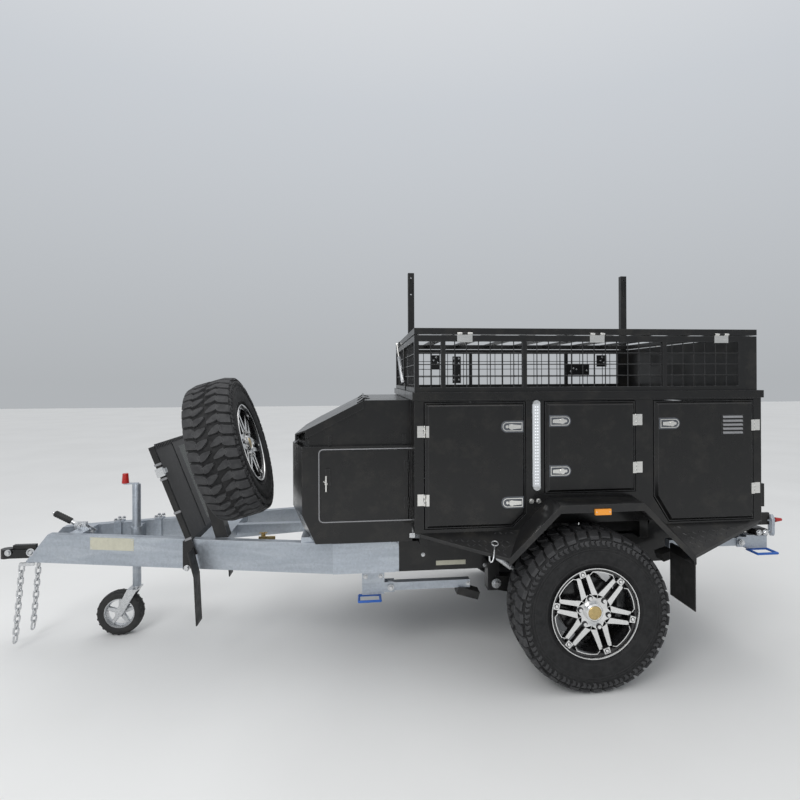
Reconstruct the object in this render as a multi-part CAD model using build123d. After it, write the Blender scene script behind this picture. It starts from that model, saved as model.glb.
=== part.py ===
from build123d import *
import os
from math import cos, hypot, radians, sin, tan

os.makedirs("parts", exist_ok=True)

# Off-road box camper trailer on one axle, in millimetres.
# X runs from the coupling to the tail, Y to the off side and Z up.
# Places are measured from a point under the middle of the axle, DATUM above the ground.
# When a piece is saved it moves by AXLE_X and DATUM: the origin is then on the ground,
# in the middle of the length.

# Overall reach
NOSE_X = -3411.0
TAIL_X = 1262.0
AXLE_X = -(NOSE_X + TAIL_X) / 2
DATUM = 15.0

# Small clearances and sheet thicknesses
GAP = 5.0
RUN = 0.5
WALL = 25.0
SHEET = 5.0

# Wheels
TYRE_R = 415.5
TYRE_W = 272.0
WHEEL_Z = TYRE_R - DATUM
TYRE_OUT = 930.0
TYRE_MID = TYRE_OUT - TYRE_W / 2
BEAD_R = 216.0
RIM_W = 236.0
FLANGE_R = 237.0
LIP_T = 6.0
FACE_IN = 14.0
SPOKE_T = 30.0
HUB_R = 94.0
HUB_T = 70.0
CAP_R = 45.0
CAP_OUT = 10.0
SPOKES = 6
SPOKE_PHASE = 48.0
SLOT_HALF = 13.5
BAR_OUT = 36.5
BAR_ROOT = 46.0
PAD_R = 209.0
PAD_W = 38.0
NUT_RING_R = 78.0
NUT_R = 10.5
NUT_OUT = 12.0
LUG_COUNT = 30
LUG_LEN = 62.0
LUG_DEEP = 12.0
LUG_WALL = 36.0
STUB_R = 32.0
DRUM_R = 165.0
DRUM_Y = (84.0, 169.0)

# Chassis
RAIL_LOW = 512.0
RAIL_H = 172.0
RAIL_W = 50.0
RAIL_TOP = RAIL_LOW + RAIL_H
RAIL_HALF = 500.0
DRAW_FRONT = -3229.0
DRAW_CUT = 146.0
DRAW_FRONT_HALF = 78.0
DRAW_BEND = -1360.0
DRAW_END = -985.0
FISHPLATE_T = 6.0
FISHPLATE_R = 28.0
KICK_X = 600.0
KICK_RUN = 110.0
KICK_LOW = 690.0
CROSS_W = 80.0
CROSS_DEEP = 60.0
CROSS_CUT = 25.0
SPARE_CROSS_X = -2030.0
NOSE_CROSS_X = -1500.0
FRONT_CROSS_X = -2930.0
SPINE_HALF = 25.0
SPINE_DEEP = 55.0
NOSE_BEARER = (-1080.0, -1030.0)
CROSS_X = (-850.0, -400.0, 20.0, 440.0, 1025.0)
BEARER_HALF = 590.0
BEARER_W = 50.0
REAR_BAR = (1057.0, 1130.0)
REAR_BAR_Z = (704.0, 740.0)
REAR_BAR_HALF = 700.0

# Body box
BODY_FRONT = -918.0
BODY_REAR = 1057.0
BODY_HALF = 745.0
FLOOR_LOW = 790.0
FLOOR_T = 25.0
FLOOR_TOP = FLOOR_LOW + FLOOR_T
ROOF_LOW = 1500.0
LEDGE_TOP = 1542.0
LEDGE_OUT = 10.0
PARTITIONS = (-262.0, 362.0)
TUB_HALF = 620.0
TUB_WALL = 20.0
ARCH = ((-350.0, FLOOR_LOW), (-185.0, 966.0), (285.0, 966.0), (480.0, FLOOR_LOW))

# Guards: the outer edge of the arch, then the tips of the flares on the body
GUARD_OUT = 930.0
GUARD_LIP = 40.0
GUARD_WALL = ((-352.0, FLOOR_LOW + 6), (-185.0, 970.0), (285.0, 966.0), (483.0, FLOOR_LOW + 14))
GUARD_EDGE = ((-457.0, 705.0), (-187.0, 964.0), (257.0, 966.0), (541.0, 684.0))
FLARE_FRONT_TIP = (-909.0, FLOOR_LOW + 6)
FLARE_REAR_TIP = (1056.0, FLOOR_LOW + 17)
FLARE_SHELF = 0.24
FLARE_HEM = 16.0
FLAP_T = 6.0
MUD_FLAP_IN = 700.0
MUD_FLAP_LOW = 390.0

# Doors: name, front x, rear x, low z, high z, chamfer (x, z), chamfered corner, hinged edge
DOORS = (
    ("door_front", -862.0, -316.0, 818.0, 1486.0, (73.0, 70.0), "rear", "front"),
    ("door_middle", -205.0, 307.0, 992.0, 1486.0, None, None, "rear"),
    ("door_rear", 417.0, 1005.0, 818.0, 1486.0, (86.0, 140.0), "front", "rear"),
)
# Latches: door, middle x, z
LATCHES = (
    ("door_front", -392.0, 1356.0),
    ("door_front", -392.0, 950.0),
    ("door_middle", -128.0, 1383.0),
    ("door_middle", -128.0, 1113.0),
    ("door_rear", 497.0, 1362.0),
)
LATCH_L = 122.0
LATCH_H = 62.0
LATCH_T = 5.0
LATCH_OUT = 17.0
# Hinges: door, z
HINGES = (
    ("door_front", 1334.0),
    ("door_front", 972.0),
    ("door_middle", 1384.0),
    ("door_middle", 1122.0),
    ("door_rear", 1346.0),
    ("door_rear", 991.0),
)
HINGE_H = 61.0
HINGE_LEAF = 38.0
HINGE_T = 4.0
KNUCKLE_R = 6.0
PIN_OUT = 6.0
PAN_INSET = 4.0
PAN_OUT = 14.0
LEAF_OUT = PAN_OUT + 3.0
# Louvred vent in the rear side door
VENT = (805.0, 940.0, 1296.0, 1406.0)
LOUVRES = 5
LOUVRE_OUT = 8.0

# Rear door
REAR_DOOR_HALF = 600.0
REAR_DOOR_Z = (860.0, 1450.0)
REAR_HINGE_IN = 120.0
REAR_LATCH_IN = 110.0

# Basket on the roof and its lid
BASKET_FRONT = -915.0
BASKET_REAR = 1040.0
BASKET_HALF = 735.0
BASKET_H = 305.0
BASKET_TOP = LEDGE_TOP + BASKET_H
BASKET_RAIL = 25.0
BASKET_TOP_RAIL = 33.0
MESH_PITCH = 65.0
MESH_WIRE = 5.0
BASKET_POSTS = (-759.0, -312.0, 489.0)
BASKET_POST_W = 24.0
CORNER_PANEL = 110.0
LID_LOW = BASKET_TOP + GAP
LID_H = 33.0
LID_BAR = 30.0
LID_SLATS = 7
SLAT_W = 60.0
SLAT_T = 12.0
STRUT_OUT = 17.0
# The struts' lower and upper eyes: x, height above the ledge or the basket's top rail
STRUT_LOW = (-150.0, 50.0)
STRUT_HIGH = (370.0, 21.0)
STRUT_BASE = (STRUT_LOW[0], LEDGE_TOP + STRUT_LOW[1])
STRUT_EYE = (STRUT_HIGH[0], BASKET_TOP + STRUT_HIGH[1])
STRUT_R = 11.0
STRUT_FOOT_T = 5.0
LID_HINGES = (-643.0, 95.0, 823.0)
LID_BARREL = 28.0
LID_LEAF = 83.0
LID_LEAF_DROP = 40.0
LID_PIN = (-BASKET_HALF - 7.0, LID_LOW + 4.0)
ROD_R = 5.0
POST_X = (-791.0, 996.0)
POST_W = 50.0
POST_D = 40.0
POST_TOP = 2465.0
POST_HOLE_R = 7.0
POST_HOLES = (38.0, 171.0)

# Nose box
NOSE_REAR = BODY_FRONT
NOSE_SIDE_FRONT = -1519.0
NOSE_MID_FRONT = -1598.0
NOSE_MID_HALF = 337.0
NOSE_HALF = 600.0
NOSE_LOW = 714.0
NOSE_CHAMFER = (72.0, 160.0)
NOSE_SHOULDER = 1245.0
NOSE_INSET = 35.0
# The ridge stays under the body's ledge: x, drop below the ledge's top
NOSE_TOP = (-1182.0, 46.0)
NOSE_RIDGE = (NOSE_TOP[0], LEDGE_TOP - NOSE_TOP[1])
NOSE_EAVE = NOSE_SHOULDER + 47.0
NOSE_LIP = 45.0
LID_T = 10.0
NOSE_DOOR = (-1421.0, -940.0, 838.0, 1222.0)
# Small catches on the shoulder: x, from the door's two ends
CATCH_X = (-1370.0, -958.0)
CATCH_W = 16.0
CATCH_H = 54.0

# Spare wheel, stone guard
SPARE = (-1970.0, -260.0, 1205.0)
SPARE_LEAN = 15.6
GUARD_HALF = 335.0
GUARD_FOOT = (-2161.0, 597.0)
GUARD_LEAN = 21.0
GUARD_LEN = 675.0
GUARD_TUBE = 32.0
GUARD_SILL = 62.0
GUARD_SPLIT = 0.56
BLADE_HALF = (335.0, 435.0)
BLADE = ((-2174.0, 640.0), (-2140.0, 500.0), (-2128.0, 227.0))
BLADE_T = 8.0
# The feet of the stone guard: front x, rear x, low z, high z
GUARD_ARM = (-2228.0, -2189.0, 516.0, 680.0)

# Jockey wheel
JOCKEY_X = -2640.0
JOCKEY_Y = 70.0
JOCKEY_TUBE_R = 25.0
JOCKEY_BORE_R = 21.5
JOCKEY_LEG_R = 19.0
JOCKEY_TUBE = (290.0, 926.0)
JOCKEY_LEG = (264.0, 660.0)
CRANK_REACH = 68.0
KNOB = (22.0, 17.0, 62.0)
CLAMP_X = (-2778.0, -2640.0, -2545.0)
CLAMP_W = 44.0
CLAMP_T = 8.0
CASTOR_R = 140.0
CASTOR_W = 76.0
CASTOR_RIM_R = 92.0
CASTOR_TRAIL = 98.0
CASTOR_AXLE_R = 8.0

# Stabilisers: name, pivot x, pivot z, middle y, length, way of the stowed leg, top of its bracket
STABILISERS = (
    ("stabiliser_front", -1033.0, 427.0, 475.0, 450.0, 1.0, RAIL_LOW),
    ("stabiliser_rear", 974.0, 666.0, 655.0, 420.0, -1.0, REAR_BAR_Z[0]),
)
LEG_W = 45.0
LEG_PIN_R = 8.0
COLLAR = 62.0
BRACKET_FAR = (36.0, 163.0)
FOOT_L = 130.0
FOOT_T = 44.0
FOOT_TILT = 17.0
FOOT_DROP = 52.0
FOOT_HALF = 40.0
BRACKET_DROP = 38.0
HANDLE_R = 7.0
HANDLE_DROP = 52.0
HANDLE_OUT = 90.0
HANDLE_SPAN = (60.0, 180.0)

# Chains
CHAIN_X = -3240.0
CHAIN_Y = 90.0
CHAIN_LEAN = 5.0
CHAIN_LINKS = 12
CHAIN_PITCH = 38.0
CHAIN_WIRE = 11.0
CHAIN_W = 38.0

# Coupling and handbrake
BALL_R = 25.3
BALL_X = NOSE_X + 34.0
BALL_Z = (520.0, 576.0)
COUPLING_HALF = 27.0
SOCKET_DEEP = 42.0
COUPLING_PLATE_END = -3000.0
LEVER_FOOT = (-2945.0, 702.0)
LEVER_TIP = (-3088.0, 780.0)
LEVER_R = 13.0

# Lamps
LIGHT_BAR = (-277.0, -236.0, 1014.0, 1492.0)
LIGHT_OUT = 14.0
MARKER = (32.0, 85.0, 929.0, 30.0)
REFLECTOR = (-771.0, -599.0, 540.0, 566.0)
TAIL_LAMP_Y = (-735.0, -650.0)
TAIL_LAMP_Z = (880.0, 1010.0)

# Recovery lugs and shackles at the tail
LUG_Z = (751.0, 821.0)
LUG_Y = (-650.0, -635.0)
LUG_END = 1181.0
SHACKLE_WIRE = 16.0
SHACKLE_DROP = 108.0
SHACKLE_W = 62.0
SHACKLE_Z = 746.0
SHACKLE_TURN = 70.0
SHACKLE_HEAD = 44.0

pieces = {}


def block(x, y, z):
    """A box over three ranges, each given as its two ends in any order."""
    middle = [sum(ends) / 2 for ends in (x, y, z)]
    return Pos(*middle) * Box(*[abs(ends[1] - ends[0]) for ends in (x, y, z)])


def prism_y(points, y):
    """An outline of (x, z) points, pushed along Y over the range y."""
    face = make_face(Polyline([(px, y[0], pz) for px, pz in points], close=True))
    return extrude(face, amount=y[1] - y[0], dir=(0, 1, 0))


def prism_z(points, z):
    """An outline of (x, y) points, pushed up over the range z."""
    face = make_face(Polyline([(px, py, z[0]) for px, py in points], close=True))
    return extrude(face, amount=z[1] - z[0], dir=(0, 0, 1))


def rod(start, end, radius):
    """A round bar from one point to another."""
    start = Vector(*start)
    along = Vector(*end) - start
    return extrude(Plane(origin=start, z_dir=along) * Circle(radius), amount=along.length)


def tube(start, end, radius, bore):
    """A round tube from one point to another."""
    start = Vector(*start)
    along = Vector(*end) - start
    ring = Circle(radius) - Circle(bore)
    return extrude(Plane(origin=start, z_dir=along) * ring, amount=along.length)


def off_side(shape):
    """The mirror image of a near-side piece."""
    return mirror(shape, about=Plane.XZ)


def fused(shapes):
    """One solid from several that touch."""
    shapes = list(shapes)
    return shapes[0].fuse(*shapes[1:]) if len(shapes) > 1 else shapes[0]


def keep(name, *shapes):
    """Remember a node by name, moved to the trailer's own origin."""
    solids = [solid for shape in shapes for solid in shape.solids()]
    pieces[name] = [solid.moved(Location((AXLE_X, 0, DATUM))) for solid in solids]


# Wheels


def tyre_solid():
    """The tyre about the Y axis: bead, bulged wall, shoulder and flat tread."""
    half = TYRE_W / 2
    bead_half = RIM_W / 2 - LIP_T
    shoulder = (half - 3, TYRE_R - 42)
    edge = (half - 20, TYRE_R - 5)
    wall_mid = (half, (BEAD_R + TYRE_R) / 2 + 10)
    points = {
        "bead": (0, bead_half, BEAD_R),
        "flange": (0, bead_half, FLANGE_R + 3),
        "wall": (0, *wall_mid),
        "shoulder": (0, *shoulder),
        "edge": (0, *edge),
        "tread": (0, half - 34, TYRE_R),
    }
    flip = {key: (0, -p[1], p[2]) for key, p in points.items()}
    outline = [
        Line(points["bead"], points["flange"]),
        ThreePointArc(points["flange"], points["wall"], points["shoulder"]),
        Line(points["shoulder"], points["edge"]),
        Line(points["edge"], points["tread"]),
        Line(points["tread"], flip["tread"]),
        Line(flip["tread"], flip["edge"]),
        Line(flip["edge"], flip["shoulder"]),
        ThreePointArc(flip["shoulder"], flip["wall"], flip["flange"]),
        Line(flip["flange"], flip["bead"]),
        Line(flip["bead"], points["bead"]),
    ]
    return revolve(make_face(outline), axis=Axis.Y)


def tyre_lug(share):
    """A shoulder lug at a share of a turn, from the tread's edge down the side wall."""
    half = TYRE_W / 2
    lug = prism_y(
        [
            (-LUG_WALL / 2, TYRE_R - LUG_LEN),
            (LUG_WALL / 2, TYRE_R - LUG_LEN),
            (LUG_WALL / 2, TYRE_R - 1),
            (-LUG_WALL / 2, TYRE_R - 1),
        ],
        (half - LUG_DEEP - 24, half),
    )
    return Rot(0, share * 360, 0) * lug


def tyre_with_lugs():
    """The tyre with its shoulder lugs, half a pitch apart from one side to the other."""
    lugs = []
    for number in range(LUG_COUNT):
        lugs.append(tyre_lug(number / LUG_COUNT))
        lugs.append(off_side(tyre_lug((number + 0.5) / LUG_COUNT)))
    return tyre_solid().fuse(*lugs)


def spoke_bar(way, face_y):
    """One bar of a twin spoke, standing up; way is the side of the slot that it is on."""
    outline = [
        (way * SLOT_HALF, NUT_RING_R + NUT_R),
        (way * SLOT_HALF, BEAD_R - 8),
        (way * BAR_OUT, BEAD_R - 8),
        (way * BAR_ROOT, HUB_R - 8),
    ]
    return prism_y(outline, (face_y, face_y + SPOKE_T))


def rim_solid():
    """The alloy rim about the Y axis, its face towards minus Y, with six twin spokes."""
    half = RIM_W / 2
    barrel_in = BEAD_R - 9
    face_y = -half + FACE_IN
    barrel = tube((0, -half, 0), (0, half, 0), BEAD_R, barrel_in)
    lips = [
        tube((0, -half - 8, 0), (0, -half + LIP_T, 0), FLANGE_R, barrel_in),
        tube((0, half - LIP_T, 0), (0, half + 4, 0), FLANGE_R, barrel_in),
    ]
    hub = rod((0, face_y, 0), (0, face_y + HUB_T, 0), HUB_R)
    cap = rod((0, face_y - CAP_OUT, 0), (0, face_y + 1, 0), CAP_R)
    spokes = []
    for number in range(SPOKES):
        pad_z = (PAD_R - PAD_W / 2, PAD_R + PAD_W / 2)
        pad = block((-PAD_W / 2, PAD_W / 2), (face_y - 6, face_y + SPOKE_T), pad_z)
        pad = pad & rod((0, face_y - 7, 0), (0, face_y + SPOKE_T, 0), FLANGE_R - 2)
        nut = rod((0, face_y - NUT_OUT, NUT_RING_R), (0, face_y + 1, NUT_RING_R), NUT_R)
        for shape in (spoke_bar(-1, face_y), spoke_bar(1, face_y), pad, nut):
            spokes.append(Rot(0, SPOKE_PHASE - 90 + number * 360 / SPOKES, 0) * shape)
    return fused([barrel, *lips, hub, cap, *spokes])


def brake_drum():
    """The drum behind the rim, with a bore that runs on the stub axle."""
    low, high = [depth - RIM_W / 2 for depth in DRUM_Y]
    drum = rod((0, low, 0), (0, high, 0), DRUM_R)
    return drum - rod((0, low + 20, 0), (0, high + 1, 0), STUB_R + RUN)


tyre = tyre_with_lugs()
rim = rim_solid() + brake_drum()
near_hub = Pos(0, -TYRE_MID, WHEEL_Z)
off_hub = Pos(0, TYRE_MID, WHEEL_Z)
keep("tyre_left", near_hub * tyre)
keep("tyre_right", off_hub * tyre)
keep("rim_left", near_hub * rim)
keep("rim_right", off_hub * mirror(rim, about=Plane.XZ))

# Chassis


def draw_half(x):
    """Outer half width of the drawbar at a place along it."""
    share = (x - DRAW_FRONT) / (DRAW_BEND - DRAW_FRONT)
    return DRAW_FRONT_HALF + share * (RAIL_HALF - DRAW_FRONT_HALF)


def drawbar_rail():
    """The near rail of the drawbar: slanted, then straight, its nose cut on a slope."""
    outer = [(DRAW_FRONT, -DRAW_FRONT_HALF), (DRAW_BEND, -RAIL_HALF), (DRAW_END, -RAIL_HALF)]
    inner = [(x, y + RAIL_W) for x, y in reversed(outer)]
    side = [
        (DRAW_FRONT, RAIL_LOW),
        (DRAW_END, RAIL_LOW),
        (DRAW_END, RAIL_TOP),
        (DRAW_FRONT + DRAW_CUT, RAIL_TOP),
    ]
    return prism_z(outer + inner, (RAIL_LOW, RAIL_TOP)) & prism_y(side, (-BODY_HALF, 0))


def draw_cross(x, width, z):
    """A crossmember between the inner faces of the drawbar rails."""
    front = draw_half(x - width / 2) - RAIL_W
    rear = draw_half(x + width / 2) - RAIL_W
    corners = [(x - width / 2, -front), (x + width / 2, -rear), (x + width / 2, rear)]
    return prism_z(corners + [(x - width / 2, front)], z)


rail = drawbar_rail()
keep("drawbar_rails", rail, off_side(rail))

cross_z = (RAIL_TOP - CROSS_DEEP, RAIL_TOP)
crosses = [draw_cross(x, CROSS_W, cross_z) for x in (FRONT_CROSS_X, SPARE_CROSS_X, NOSE_CROSS_X)]
spine = block(
    (SPARE_CROSS_X + CROSS_W / 2 - 1, NOSE_CROSS_X - CROSS_W / 2 + 1),
    (-SPINE_HALF, SPINE_HALF),
    (RAIL_TOP - SPINE_DEEP, RAIL_TOP),
)
spine = fused([*crosses[1:], spine])
# Bearers under the nose box, on top of the rails
nose_bearers = []
for along in (NOSE_BEARER, (NOSE_CROSS_X - CROSS_W / 2, NOSE_CROSS_X + CROSS_W / 2)):
    reach = draw_half(min(along[0], DRAW_BEND))
    nose_bearers.append(block(along, (-reach, reach), (RAIL_TOP, NOSE_LOW)))
fish_x = (DRAW_BEND, DRAW_END)
fishplate = block(fish_x, (-RAIL_HALF - FISHPLATE_T, -RAIL_HALF), (RAIL_LOW, RAIL_TOP))
fishplate = fillet(fishplate.edges().filter_by(Axis.Y).group_by(Axis.X)[-1], FISHPLATE_R)
# The saddle clamps of the jockey wheel's bracket go round the far rail
saddles = []
for x in (CLAMP_X[0], CLAMP_X[2]):
    along = (x - CLAMP_W / 2, x + CLAMP_W / 2)
    across = (draw_half(along[0]) - RAIL_W - CLAMP_T, draw_half(along[1]) + CLAMP_T)
    saddles.append(block(along, across, (RAIL_LOW - CLAMP_T, RAIL_TOP + CLAMP_T)) - off_side(rail))
keep("drawbar_plates", crosses[0], spine, *nose_bearers, fishplate, off_side(fishplate), *saddles)

chassis_side = [
    (DRAW_END, RAIL_LOW),
    (KICK_X, RAIL_LOW),
    (KICK_X + KICK_RUN, KICK_LOW),
    (BODY_REAR, KICK_LOW),
    (BODY_REAR, FLOOR_LOW),
    (KICK_X - KICK_RUN / 2, FLOOR_LOW),
    (KICK_X - KICK_RUN, RAIL_TOP),
    (DRAW_END, RAIL_TOP),
]
chassis_rail = prism_y(chassis_side, (-RAIL_HALF, -RAIL_HALF + RAIL_W))
keep("chassis_rails", chassis_rail, off_side(chassis_rail))

inside = (-RAIL_HALF + RAIL_W, RAIL_HALF - RAIL_W)
bearers = []
for x in CROSS_X:
    along = (x - BEARER_W / 2, x + BEARER_W / 2)
    if x < KICK_X - KICK_RUN:
        cross = block(along, inside, (RAIL_LOW + CROSS_CUT, RAIL_TOP))
        bearers.append(cross + block(along, (-BEARER_HALF, BEARER_HALF), (RAIL_TOP, FLOOR_LOW)))
    else:
        bearers.append(block(along, inside, (KICK_LOW, FLOOR_LOW)))
        outrigger = block(along, (-BEARER_HALF, -RAIL_HALF), (KICK_LOW, FLOOR_LOW))
        bearers += [outrigger, off_side(outrigger)]
rear_bar = block(REAR_BAR, (-REAR_BAR_HALF, REAR_BAR_HALF), REAR_BAR_Z)
keep("chassis_crossmembers", *bearers, rear_bar)

# Suspension: a trailing arm each side, its stub axle and an air spring
ARM_PIVOT = (-440.0, 455.0)
ARM_Y = (-585.0, -505.0)
SPRING = (-95.0, -578.0)
SPRING_R = 60.0
SEAT_Z = (WHEEL_Z + 50, WHEEL_Z + 70)


def trailing_arm():
    """The near arm from its pivot tube to the stub axle, with the spring seat on top."""
    pivot_x, pivot_z = ARM_PIVOT
    arm = prism_y(
        [
            (pivot_x, pivot_z - 40),
            (-40, WHEEL_Z - 55),
            (55, WHEEL_Z - 45),
            (55, WHEEL_Z + 45),
            (-150, WHEEL_Z + 60),
            (pivot_x, pivot_z + 40),
        ],
        ARM_Y,
    )
    stub_end = -TYRE_MID - RIM_W / 2 + DRUM_Y[0] + 26
    stub = rod((0, ARM_Y[0], WHEEL_Z), (0, stub_end, WHEEL_Z), STUB_R)
    plate_y = -TYRE_MID - RIM_W / 2 + DRUM_Y[1] + GAP
    plate = rod((0, plate_y, WHEEL_Z), (0, plate_y + 6, WHEEL_Z), DRUM_R - 4)
    hanger = block((pivot_x - 45, pivot_x + 20), (-RAIL_HALF, ARM_Y[0] + 10), (pivot_z - 45, RAIL_LOW + 60))
    seat = block((SPRING[0] - 65, SPRING[0] + 65), (SPRING[1] - 62, ARM_Y[1]), SEAT_Z)
    return fused([arm, stub, plate, hanger, seat])


def air_spring():
    """A two-bellows air spring on the arm, under an outrigger of the chassis rail."""
    low = SEAT_Z[1]
    high = FLOOR_LOW - 60
    third = (high - low) / 3
    bellows = [
        Pos(*SPRING, low + third * (number + 0.5)) * Cylinder(SPRING_R, third * 0.9) for number in range(3)
    ]
    core = rod((*SPRING, low), (*SPRING, FLOOR_LOW), 40.0)
    return fused([core, *bellows])


arm = trailing_arm()
spring = air_spring()
keep("suspension_arms", arm, off_side(arm))
keep("air_springs", spring, off_side(spring))

# Body


def arch_prism(grow, y):
    """The wheel arch as a prism, its outline grown outwards and open at the floor."""
    face = make_face(Polyline([(x, 0, z) for x, z in ARCH], close=True))
    if grow:
        face = offset(face, amount=grow, kind=Kind.INTERSECTION)
    solid = extrude(face, amount=y[1] - y[0], dir=(0, 1, 0))
    solid = Pos(0, y[0], 0) * solid
    below = block((-2000, 2000), (y[0] - 1, y[1] + 1), (FLOOR_LOW - 400, FLOOR_LOW))
    return solid - below


def door_outline(front, rear, low, high, cut, corner, grow):
    """A door's outline in x and z, grown by a gap all round."""
    if cut is None:
        return [
            (front - grow, low - grow),
            (rear + grow, low - grow),
            (rear + grow, high + grow),
            (front - grow, high + grow),
        ]
    slant = grow * (hypot(*cut) / (cut[0] + cut[1]))
    if corner == "rear":
        return [
            (front - grow, low - grow),
            (rear - cut[0] + slant, low - grow),
            (rear + grow, low + cut[1] - slant),
            (rear + grow, high + grow),
            (front - grow, high + grow),
        ]
    return [
        (front + cut[0] - slant, low - grow),
        (rear + grow, low - grow),
        (rear + grow, high + grow),
        (front - grow, high + grow),
        (front - grow, low + cut[1] - slant),
    ]


SKIN = (-BODY_HALF, -BODY_HALF + WALL)


def side_wall():
    """The near side wall with its three door openings and the wheel arch."""
    wall = block((BODY_FRONT, BODY_REAR), SKIN, (FLOOR_LOW, ROOF_LOW))
    wall = wall - arch_prism(0, (SKIN[0] - 1, SKIN[1] + 1))
    for name, front, rear, low, high, cut, corner, hinged in DOORS:
        outline = door_outline(front, rear, low, high, cut, corner, GAP)
        wall = wall - prism_y(outline, (SKIN[0] - 1, SKIN[1] + 1))
    return wall


wall = side_wall()
keep("side_walls", wall, off_side(wall))

inner_half = BODY_HALF - WALL
front_wall = block((BODY_FRONT, BODY_FRONT + WALL), (-inner_half, inner_half), (FLOOR_LOW, ROOF_LOW))
rear_wall = block((BODY_REAR - WALL, BODY_REAR), (-inner_half, inner_half), (FLOOR_LOW, ROOF_LOW))
rear_hole = block(
    (BODY_REAR - WALL - 1, BODY_REAR + 1),
    (-REAR_DOOR_HALF - GAP, REAR_DOOR_HALF + GAP),
    (REAR_DOOR_Z[0] - GAP, REAR_DOOR_Z[1] + GAP),
)
keep("end_walls", front_wall, rear_wall - rear_hole)

near_tub_range = (-inner_half, -TUB_HALF + TUB_WALL)
tub = arch_prism(TUB_WALL, near_tub_range) - arch_prism(0, (-inner_half - 1, -TUB_HALF))
keep("wheel_tubs", tub, off_side(tub))

length_in = (BODY_FRONT + WALL, BODY_REAR - WALL)
tub_space = arch_prism(TUB_WALL, near_tub_range)
floor = block(length_in, (-inner_half, inner_half), (FLOOR_LOW, FLOOR_TOP))
keep("floor", floor - tub_space - off_side(tub_space))

panels = []
for x in PARTITIONS:
    panel = block((x - WALL / 2, x + WALL / 2), (-inner_half, inner_half), (FLOOR_TOP, ROOF_LOW))
    panels.append(panel - tub_space - off_side(tub_space))
keep("partitions", *panels)

roof = block(
    (BODY_FRONT - LEDGE_OUT, BODY_REAR + LEDGE_OUT),
    (-BODY_HALF - LEDGE_OUT, BODY_HALF + LEDGE_OUT),
    (ROOF_LOW, LEDGE_TOP),
)
keep("roof", roof)

# Hinges and latches, near side


def hinge_leaves(pin_x, pin_y, z, door_side, leaf_out):
    """The fixed and the moving leaf of a butt hinge; door_side is the door's way in X.

    The moving leaf stands leaf_out over the skin, on the door's raised pan."""
    low, high = z - HINGE_H / 2, z + HINGE_H / 2
    third = HINGE_H / 3
    skin_y = pin_y + PIN_OUT
    reach = KNUCKLE_R + 1

    def span(start, end):
        return tuple(sorted((pin_x + start * door_side, pin_x + end * door_side)))

    moving = [
        block(span(reach, HINGE_LEAF * 0.62), (skin_y - leaf_out, skin_y), (low, high)),
        block(span(0, reach), (skin_y - HINGE_T, skin_y - 1), (low + third + 1, high - third - 1)),
        rod((pin_x, pin_y, low + third + 1), (pin_x, pin_y, high - third - 1), KNUCKLE_R - 0.5),
    ]
    fixed = [block(span(-HINGE_LEAF, -reach), (skin_y - HINGE_T, skin_y), (low, high))]
    for start in (low, high - third):
        fixed.append(block(span(-reach, 0), (skin_y - HINGE_T, skin_y - 1), (start, start + third)))
        fixed.append(rod((pin_x, pin_y, start), (pin_x, pin_y, start + third), KNUCKLE_R - 0.5))
    return fused(fixed), fused(moving)


def latch(x, z, skin_y, round_end):
    """A folding paddle latch: a plate with one round end, its raised rim, paddle, boss and lock."""
    half = LATCH_L / 2
    end_r = LATCH_H / 2
    round_x = -half + end_r

    def plate(shrink, out, back):
        low, high = -end_r + shrink, end_r - shrink
        flat = block((round_x, half - shrink), (skin_y - out, skin_y - back), (low, high))
        return flat + rod((round_x, skin_y - out, 0), (round_x, skin_y - back, 0), end_r - shrink)

    base = plate(0.0, LATCH_T, 0.0)
    rim = plate(7.0, LATCH_T + 4, LATCH_T) - plate(11.0, LATCH_T + 5, LATCH_T - 1)
    paddle_outline = [(-8, -13), (half - 16, -9), (half - 16, 9), (-8, 13)]
    paddle = prism_y(paddle_outline, (skin_y - LATCH_OUT, skin_y - LATCH_T))
    boss = rod((-8, skin_y - LATCH_OUT - 3, 0), (-8, skin_y, 0), 15.0)
    lock = rod((round_x, skin_y - LATCH_T - 6, 0), (round_x, skin_y, 0), 8.0)
    whole = fused([base, rim, paddle, boss, lock])
    if round_end > 0:
        whole = mirror(whole, about=Plane.YZ)
    return Pos(x, 0, z) * whole


def louvred_vent():
    """The vent of the rear side door: a plate with a column of pressed louvres."""
    x0, x1, z0, z1 = VENT
    skin_y = -BODY_HALF - PAN_OUT
    pitch = (z1 - z0) / LOUVRES
    parts = [block((x0, x1), (skin_y - 2, skin_y + 1), (z0, z1))]
    for number in range(LOUVRES):
        low = z0 + number * pitch + pitch * 0.2
        high = low + pitch * 0.62
        flat = [(skin_y - 1, low), (skin_y - LOUVRE_OUT, low), (skin_y - 1, high)]
        face = make_face(Polyline([(x0 + 9, y, z) for y, z in flat], close=True))
        parts.append(extrude(face, amount=x1 - x0 - 18, dir=(1, 0, 0)))
    return fused(parts)


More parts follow.
